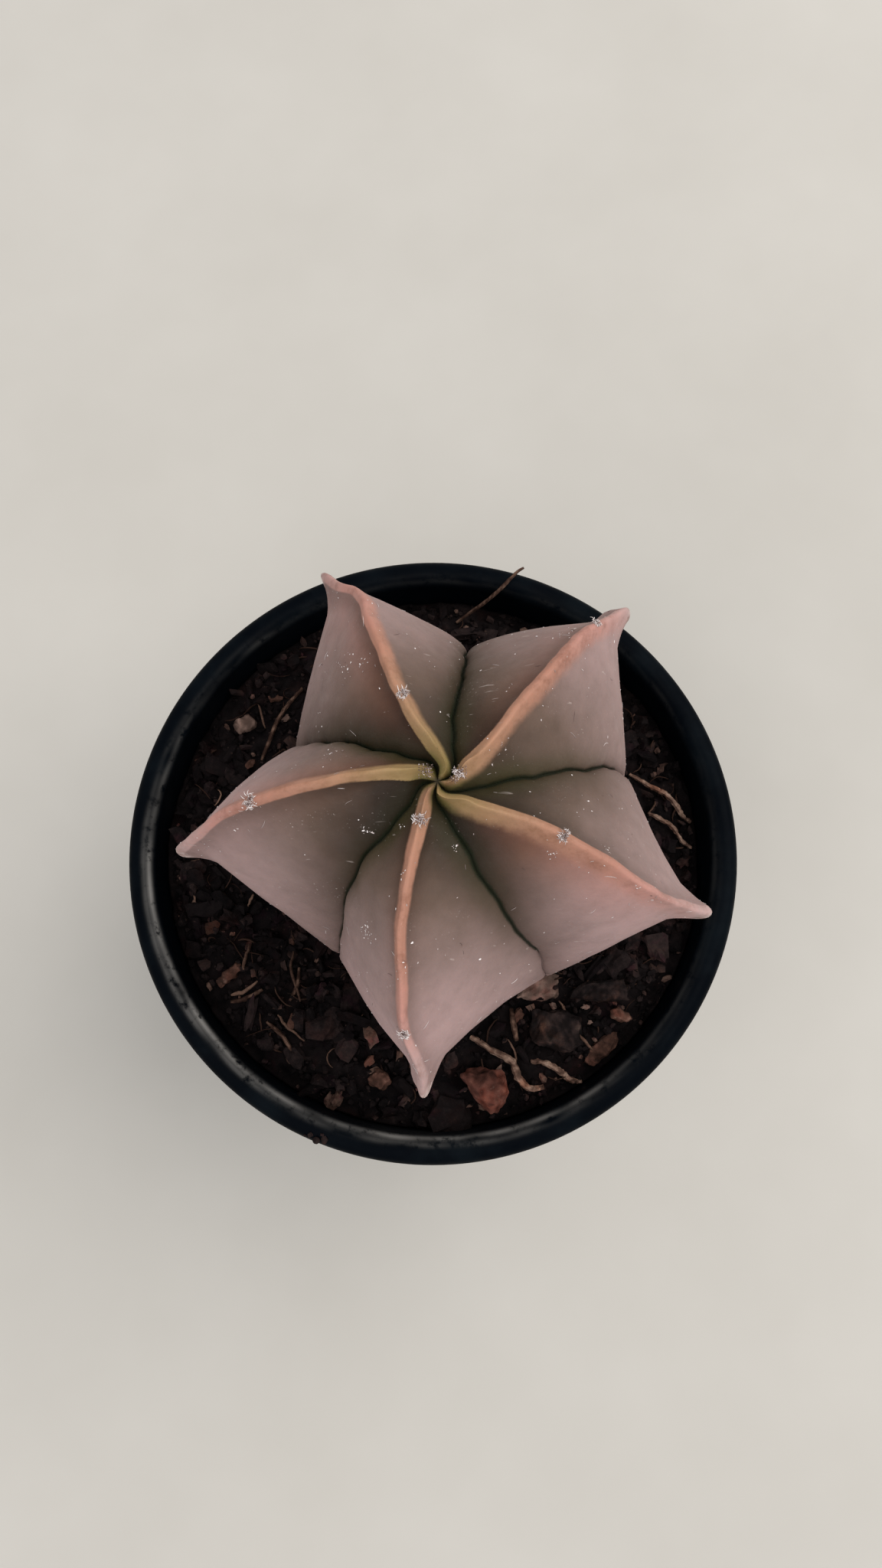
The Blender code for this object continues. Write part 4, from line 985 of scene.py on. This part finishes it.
def turned(rng, count, tilt):
    """Random turns: any azimuth, pitched and rolled by up to the tilt in degrees."""
    azimuth = rng.uniform(0, math.tau, count)
    return turns_of(azimuth, *np.radians(rng.uniform(-tilt, tilt, (2, count))))


def pot_inner_radius(height):
    """Radius of the pot's inside at a height."""
    radii = (FLOOR_RADIUS, LIP_INSIDE - NECK_STEP, LIP_INSIDE)
    return np.interp(height, (FLOOR_TOP, NECK_LEVEL, POT_HEIGHT - LIP_ROLL), radii)


def soil_height(places):
    """Heights of the bare soil at places (x, y), with soft heaps and small lumps, lower by the wall."""
    flat = places.reshape(-1, 2)
    points = [Vector((x, y, 0)) / MM for x, y in flat]
    heaps = np.array([noise.noise(point * HEAP_PITCH + HEAP_SHIFT) for point in points])
    lumps = np.array([noise.noise(point * LUMP_PITCH + LUMP_SHIFT) for point in points])
    near = np.clip((np.hypot(flat[:, 0], flat[:, 1]) - EDGE_RADIUS) / EDGE_WIDTH + 1, 0, 1)
    heights = SOIL_LEVEL + HEAP_RISE * heaps + LUMP_RISE * lumps - EDGE_SINK * near * near * (3 - 2 * near)
    return heights.reshape(places.shape[:-1])


def make_soil_bed():
    """The soil's body: a crumbly top, sides along the pot and a flat bottom."""
    top_level = SOIL_LEVEL - EDGE_SINK - HEAP_RISE
    radii = (pot_inner_radius(top_level) - SOIL_GAP) * (np.arange(1, SOIL_RINGS + 1) / SOIL_RINGS) ** 0.85
    top = round_rings(radii, np.zeros(SOIL_RINGS), SOIL_STEPS)
    top[:, :, 2] = soil_height(top[:, :, :2])
    ridges = (np.abs(ripple(top, RIDGE_PITCH, 73)) - 1) * RIDGE_DEPTH
    top[:, :, 2:] += small_bends(top, 0, SOIL_WAVES) + ridges[:, :, None]
    heights = np.linspace(SOIL_LEVEL - EDGE_SINK - 3 * MM, FLOOR_TOP + 4 * FLOOR_CORNER, 12)
    bottom = FLOOR_TOP + SOIL_GAP
    bottom_radii = (FLOOR_RADIUS - FLOOR_CORNER - SOIL_GAP) * BOTTOM_SHARES
    radii = [*(pot_inner_radius(heights) - SOIL_GAP), *bottom_radii]
    rings = np.concatenate([top, round_rings(radii, [*heights, bottom, bottom, bottom], SOIL_STEPS)])
    middle = (0, 0, soil_height(np.zeros((1, 2)))[0])
    obj = loft("soil_bed", rings, middle, (0, 0, bottom))
    verts = places_of(obj.data.vertices)
    tone = 0.22 + 0.16 * ripple(verts, 2.0 * MM, 74) + 0.08 * ripple(verts, 6 * MM, 75)
    add_values(obj, "tone", np.clip(tone, 0, 0.6))
    finish_piece(obj, "soil", "soil")


def scattered(rng, count, reach, kept=None):
    """Places over the soil, clear of the plant's axis and at least the reach from the kept places."""
    places = []
    limit = pot_inner_radius(SOIL_LEVEL) - SOIL_GAP - reach
    while len(places) < count:
        radius = limit * math.sqrt(rng.uniform(0, 1))
        angle = rng.uniform(0, math.tau)
        x = radius * math.cos(angle)
        y = radius * math.sin(angle)
        if math.hypot(x - PLANT_AXIS[0], y - PLANT_AXIS[1]) < CLEAR_OF_PLANT:
            continue
        if kept is None or np.min(np.hypot(kept[:, 0] - x, kept[:, 1] - y)) >= reach:
            places.append((x, y))
    places = np.array(places)
    return np.column_stack([places, soil_height(places)])


def make_mix(nodes):
    """The soil's own bits: crumbs, chips, lumps, flakes and fibres, and those that stand out."""
    rng = np.random.default_rng(23)
    kept = np.concatenate([places_of(nodes[name].data.vertices) for name in (*CHIP_NODES, *STRAND_NODES)])
    for name, count, reach, small, large, flat, tilt, tone, spread, detail, boxy, rough in MIX:
        places = scattered(rng, count, reach * MM, kept if reach > 1 else None)
        base = rng.uniform(small, large, count)[:, None]
        sizes = base * rng.uniform(0.55, 1.45, (count, 3)) * np.array((1.0, flat[0], flat[1])) * MM
        places[:, 2] += rng.uniform(-0.3, 0.5, count) * large * MM
        tones = np.clip(tone + spread * rng.gamma(1.3, 1.0, count), 0, 1)
        obj = rough_lumps(name, places, sizes, turned(rng, count, tilt), tones, detail, 24, boxy, rough)
        finish_piece(obj, "soil")
    for row, (kind, bits) in enumerate(BITS.items()):
        bits = np.array(bits)
        places = bits[:, :2] * MM
        places = np.column_stack([places, soil_height(places) + bits[:, 6] * MM])
        turns = turns_of(np.radians(bits[:, 5]), 0, 0)
        sizes = bits[:, 2:5] * 0.5 * MM
        obj = rough_lumps("bits_" + kind, places, sizes, turns, bits[:, 7], 2, 33 + row, 0.75, 0.75)
        finish_piece(obj, kind)
    make_fibres(rng)


def make_fibres(rng):
    """Coir fibres on the soil: bent ones at random and those that stand out."""
    places = scattered(rng, FIBRES, 3.0 * MM)[:, None]
    heading = rng.uniform(0, math.tau, FIBRES)[:, None]
    length = rng.uniform(*FIBRE_LENGTHS, FIBRES)[:, None] * MM
    bend = rng.normal(0, FIBRE_BEND, FIBRES)[:, None]
    pitch = np.radians(rng.uniform(-FIBRE_TILT, FIBRE_TILT, FIBRES))[:, None]
    t = np.linspace(-0.5, 0.5, FIBRE_POINTS)
    turn = heading + bend * t + np.cumsum(rng.normal(0, FIBRE_KINKS, (FIBRES, FIBRE_POINTS)), axis=1)
    step = length / (FIBRE_POINTS - 1) * np.cos(pitch)
    path = np.cumsum(np.stack([np.cos(turn) * step, np.sin(turn) * step], axis=2), axis=1)
    path += places[:, :, :2] - path.mean(axis=1, keepdims=True)
    limit = pot_inner_radius(SOIL_LEVEL) - SOIL_GAP - 0.3 * MM
    path *= np.minimum(1, limit / np.maximum(np.linalg.norm(path, axis=2, keepdims=True), 1e-9))
    rise = t * length * np.sin(pitch) + FIBRE_ARCH * np.cos(t * math.pi)
    paths = np.dstack([path, places[:, :, 2] + rise + 0.15 * MM])
    taper = np.interp(t, (-0.5, -0.2, 0.3, 0.5), (0.5, 1, 0.9, 0.35))
    radii = rng.uniform(*FIBRE_RADII, (FIBRES, 1)) * MM * taper
    tones = np.clip(0.1 + 0.16 * rng.gamma(1.4, 1.0, FIBRES), 0, 1)
    for ends, width, tone in PALE_FIBRES:
        along = np.linspace(0, 1, len(ends))
        line = np.stack([np.interp(t + 0.5, along, end) * MM for end in zip(*ends)], axis=1)
        heights = soil_height(line) + 0.75 * MM
        line = np.column_stack([line + rng.normal(0, 0.06, (FIBRE_POINTS, 2)) * MM, heights])
        paths = np.concatenate([paths, line[None]])
        radii = np.vstack([radii, width * MM * np.interp(t, (-0.5, -0.3, 0.2, 0.5), (0.45, 1.0, 0.8, 0.4))])
        tones = np.append(tones, tone)
    finish_piece(tubes("soil_fibres", paths, radii, 5, tones), "coir")


def make_lip_crumbs():
    """The few crumbs of soil that lie on the lip's outer slope."""
    rng = np.random.default_rng(61)
    azimuth, radius, size = np.array(LIP_CRUMBS).T * ((math.radians(1),), (MM,), (MM,))
    level = POT_HEIGHT - LIP_ROLL + np.sqrt(LIP_ROLL ** 2 - (radius - POT_RADIUS + LIP_ROLL) ** 2)
    places = np.column_stack([radius * np.cos(azimuth), radius * np.sin(azimuth), level + 0.2 * size])
    count = len(places)
    sizes = size[:, None] * 0.5 * rng.uniform(0.6, 1.1, (count, 3))
    turns = turned(rng, count, 40)
    obj = rough_lumps("lip_crumbs", places, sizes, turns, np.full(count, 0.62), 2, 62, 0.7, 0.6)
    finish_piece(obj, "soil")


def fine_copy(node, name, seed, cuts, rough, pitch, soften, shrink):
    """A solid's own shape, made fine, jagged and, if asked, a little thinner."""
    pitch *= MM
    bm = bmesh.new()
    bm.from_mesh(node.data)
    bmesh.ops.remove_doubles(bm, verts=bm.verts[:], dist=0.01 * MM)
    bmesh.ops.triangulate(bm, faces=bm.faces[:])
    for _ in range(cuts):
        bmesh.ops.subdivide_edges(bm, edges=bm.edges[:], cuts=1, use_grid_fill=True)
        for _ in range(soften):
            bmesh.ops.smooth_vert(bm, verts=bm.verts[:], factor=0.2, use_axis_x=True, use_axis_y=True,
                                  use_axis_z=True)
    bmesh.ops.triangulate(bm, faces=bm.faces[:])
    bm.normal_update()
    places = places_of(bm.verts)
    normals = np.array([v.normal for v in bm.verts])
    faces = np.array([[v.index for v in f.verts] for f in bm.faces])
    bm.free()
    relief = ((0.6 - np.abs(ripple(places, pitch, seed)) * 1.3) * 0.7
              + ripple(places, pitch * 0.42, seed + 1) * 0.35 + ripple(places, pitch * 0.2, seed + 2) * 0.15)
    places += normals * (relief * rough - shrink)[:, None] * MM
    obj = mesh_object(name, places, (faces,), False)
    patches = ripple(places, pitch * 1.1, seed + 3) * 0.24 + ripple(places, pitch * 0.35, seed + 4) * 0.14
    # Tone: random patches, lighter on raised relief, and lighter on upward faces as painted light
    add_values(obj, "tone", np.clip(0.42 + 0.16 * normals[:, 2] + patches + 0.12 * relief, 0, 1))
    return obj


def make_loose_pieces(nodes):
    """The loose chips, twigs and strands, finer and rougher than their solids."""
    for first_seed, group in ((100, CHIP_NODES), (300, STRAND_NODES)):
        for row, (name, kind) in enumerate(group.items()):
            obj = fine_copy(nodes[name], name + "_fine", first_seed + 10 * row, *FINE[kind])
            finish_piece(obj, kind, name)


def arc(middle_r, middle_z, radius, start, end, steps):
    """Points (r, z) along an arc of the profile, angles in degrees."""
    angles = np.radians(np.linspace(start, end, steps + 1))
    return zip(middle_r + radius * np.cos(angles), middle_z + radius * np.sin(angles))


def pot_profile():
    """Half outline of the pot: from the floor's middle up the inside, over the lip, down and under."""
    collar_r = POT_RADIUS - COLLAR_TAPER
    collar_z = POT_HEIGHT - COLLAR_HEIGHT
    wall_r = pot_inner_radius(NECK_LEVEL) + WALL
    foot_r = FLOOR_RADIUS + WALL * 0.6
    inside = np.linspace(FLOOR_TOP + FLOOR_CORNER, NECK_LEVEL, WALL_STEPS)
    points = [(FLOOR_RADIUS - FLOOR_CORNER, FLOOR_TOP), *zip(pot_inner_radius(inside), inside)]
    points += arc(POT_RADIUS - LIP_ROLL, POT_HEIGHT - LIP_ROLL, LIP_ROLL, 180, 0, 26)
    points += arc(collar_r - COLLAR_EDGE, collar_z + COLLAR_EDGE, COLLAR_EDGE, 0, -90, 6)
    points += [(wall_r + NECK_STEP, collar_z)]
    points += zip(np.linspace(wall_r, FLOOR_RADIUS + WALL, WALL_STEPS),
                  np.linspace(collar_z - NECK_DROP, FLOOR_TOP, WALL_STEPS))
    points += arc(foot_r - FOOT_EDGE, FOOT_EDGE, FOOT_EDGE, 0, -90, 5)
    return points + [(foot_r - FOOT_WIDTH, 0), (foot_r - FOOT_WIDTH - FOOT_TAPER, FOOT_HEIGHT)]


def make_pot():
    """The nursery pot: a fine turned shell with drain holes, and its wear and painted glint for the plastic's
    material.
    """
    rings = round_rings(*zip(*pot_profile()), POT_STEPS)
    pot = loft("pot_shell", rings, (0, 0, FLOOR_TOP), (0, 0, FOOT_HEIGHT))
    for i in range(DRAIN_COUNT):
        angle = math.tau * (i + 0.5) / DRAIN_COUNT
        place = (DRAIN_RING * math.cos(angle), DRAIN_RING * math.sin(angle), FLOOR_TOP / 2)
        bpy.ops.mesh.primitive_cylinder_add(vertices=64, radius=DRAIN_RADIUS, depth=4 * FLOOR_TOP,
                                            location=place)
        cut = pot.modifiers.new("hole", "BOOLEAN")
        cut.operation = "DIFFERENCE"
        cut.solver = "EXACT"
        cut.object = bpy.context.object
    bpy.context.view_layer.update()
    made = bpy.data.meshes.new_from_object(pot.evaluated_get(bpy.context.evaluated_depsgraph_get()))
    for cut in pot.modifiers:
        bpy.data.objects.remove(cut.object, do_unlink=True)
    pot.modifiers.clear()
    pot.data = made
    made.set_sharp_from_angle(angle=math.radians(SHARP_ANGLE))

    places = places_of(made.vertices)
    height = places[:, 2]
    radius = np.hypot(places[:, 0], places[:, 1])
    turn = np.arctan2(places[:, 1], places[:, 0])
    # The lip's inner edge: wear streaks and a painted glint, strongest by azimuth where the light would catch
    # it
    wear_and_glint = np.interp(np.degrees(turn) % 360, *zip(*LIP_WEAR_AND_GLINT))
    around = np.stack([np.cos(turn), np.sin(turn), np.zeros(len(turn))], axis=1)
    off = radius - WEAR_AND_GLINT_RADIUS - WEAR_AND_GLINT_DRIFT * ripple(around, 0.4, 91)
    line = np.exp(-(off / WEAR_AND_GLINT_WIDTH) ** 2) + FAINT_SHARE * np.exp(-((off - FAINT_OFFSET) / FAINT_WIDTH) ** 2)
    around = np.column_stack([around[:, :2] * 9, radius / MM * 1.3])
    streaks = np.clip(0.6 + 0.55 * ripple(around, 0.8, 92), 0, 1)
    on_top = np.clip((height - POT_HEIGHT + 3 * MM) / (2 * MM), 0, 1)
    add_values(pot, "lip", line * streaks * on_top * wear_and_glint)
    add_values(pot, "rim", on_top)
    add_values(pot, "outside", np.clip((POT_HEIGHT - 4 * MM - height) / (4 * MM), 0, 1))
    finish_piece(pot, "pot", "pot")


def make_floor():
    """A plain pale floor under the pot."""
    verts = np.array([(-1, -1, 0), (1, -1, 0), (1, 1, 0), (-1, 1, 0)]) * FLOOR_HALF
    obj = mesh_object("floor", verts, (np.array([[0, 1, 2, 3]]),), False)
    obj.data.materials.append(floor_material())


def area_light(name, place, size, power, colour):
    """A soft square light that faces the middle of the pot."""
    data = bpy.data.lights.new(name, "AREA")
    data.shape = "SQUARE"
    data.size = size
    data.energy = power
    data.color = colour
    obj = add_object(name, data)
    obj.location = place
    obj.rotation_euler = (Vector(LIT_POINT) - Vector(place)).to_track_quat("-Z", "Y").to_euler()


def make_light():
    """Soft studio light from all round, stronger from the picture's upper right."""
    world = bpy.data.worlds.new("studio")
    world.use_nodes = True
    background = world.node_tree.nodes["Background"]
    background.inputs["Color"].default_value = SKY_COLOUR
    background.inputs["Strength"].default_value = SKY_STRENGTH
    bpy.context.scene.world = world
    for row in LIGHTS:
        area_light(*row)
    bpy.context.scene.view_settings.view_transform = "Standard"


def make_camera():
    """The photograph's view, nearly straight down."""
    data = bpy.data.cameras.new("camera")
    data.sensor_width = SENSOR_WIDTH
    data.lens = LENS
    data.clip_start = 10 * MM
    camera = add_object("camera", data)
    camera.location = CAMERA_PLACE
    camera.rotation_euler = (math.radians(CAMERA_TILT), 0, 0)
    bpy.context.scene.camera = camera


def main():
    """Builds the whole visual model."""
    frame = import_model()
    make_camera()
    make_light()
    make_floor()
    make_materials()
    make_pot()
    make_soil_bed()
    make_mix(frame["nodes"])
    make_lip_crumbs()
    make_loose_pieces(frame["nodes"])
    make_cactus()
    make_wool()


main()
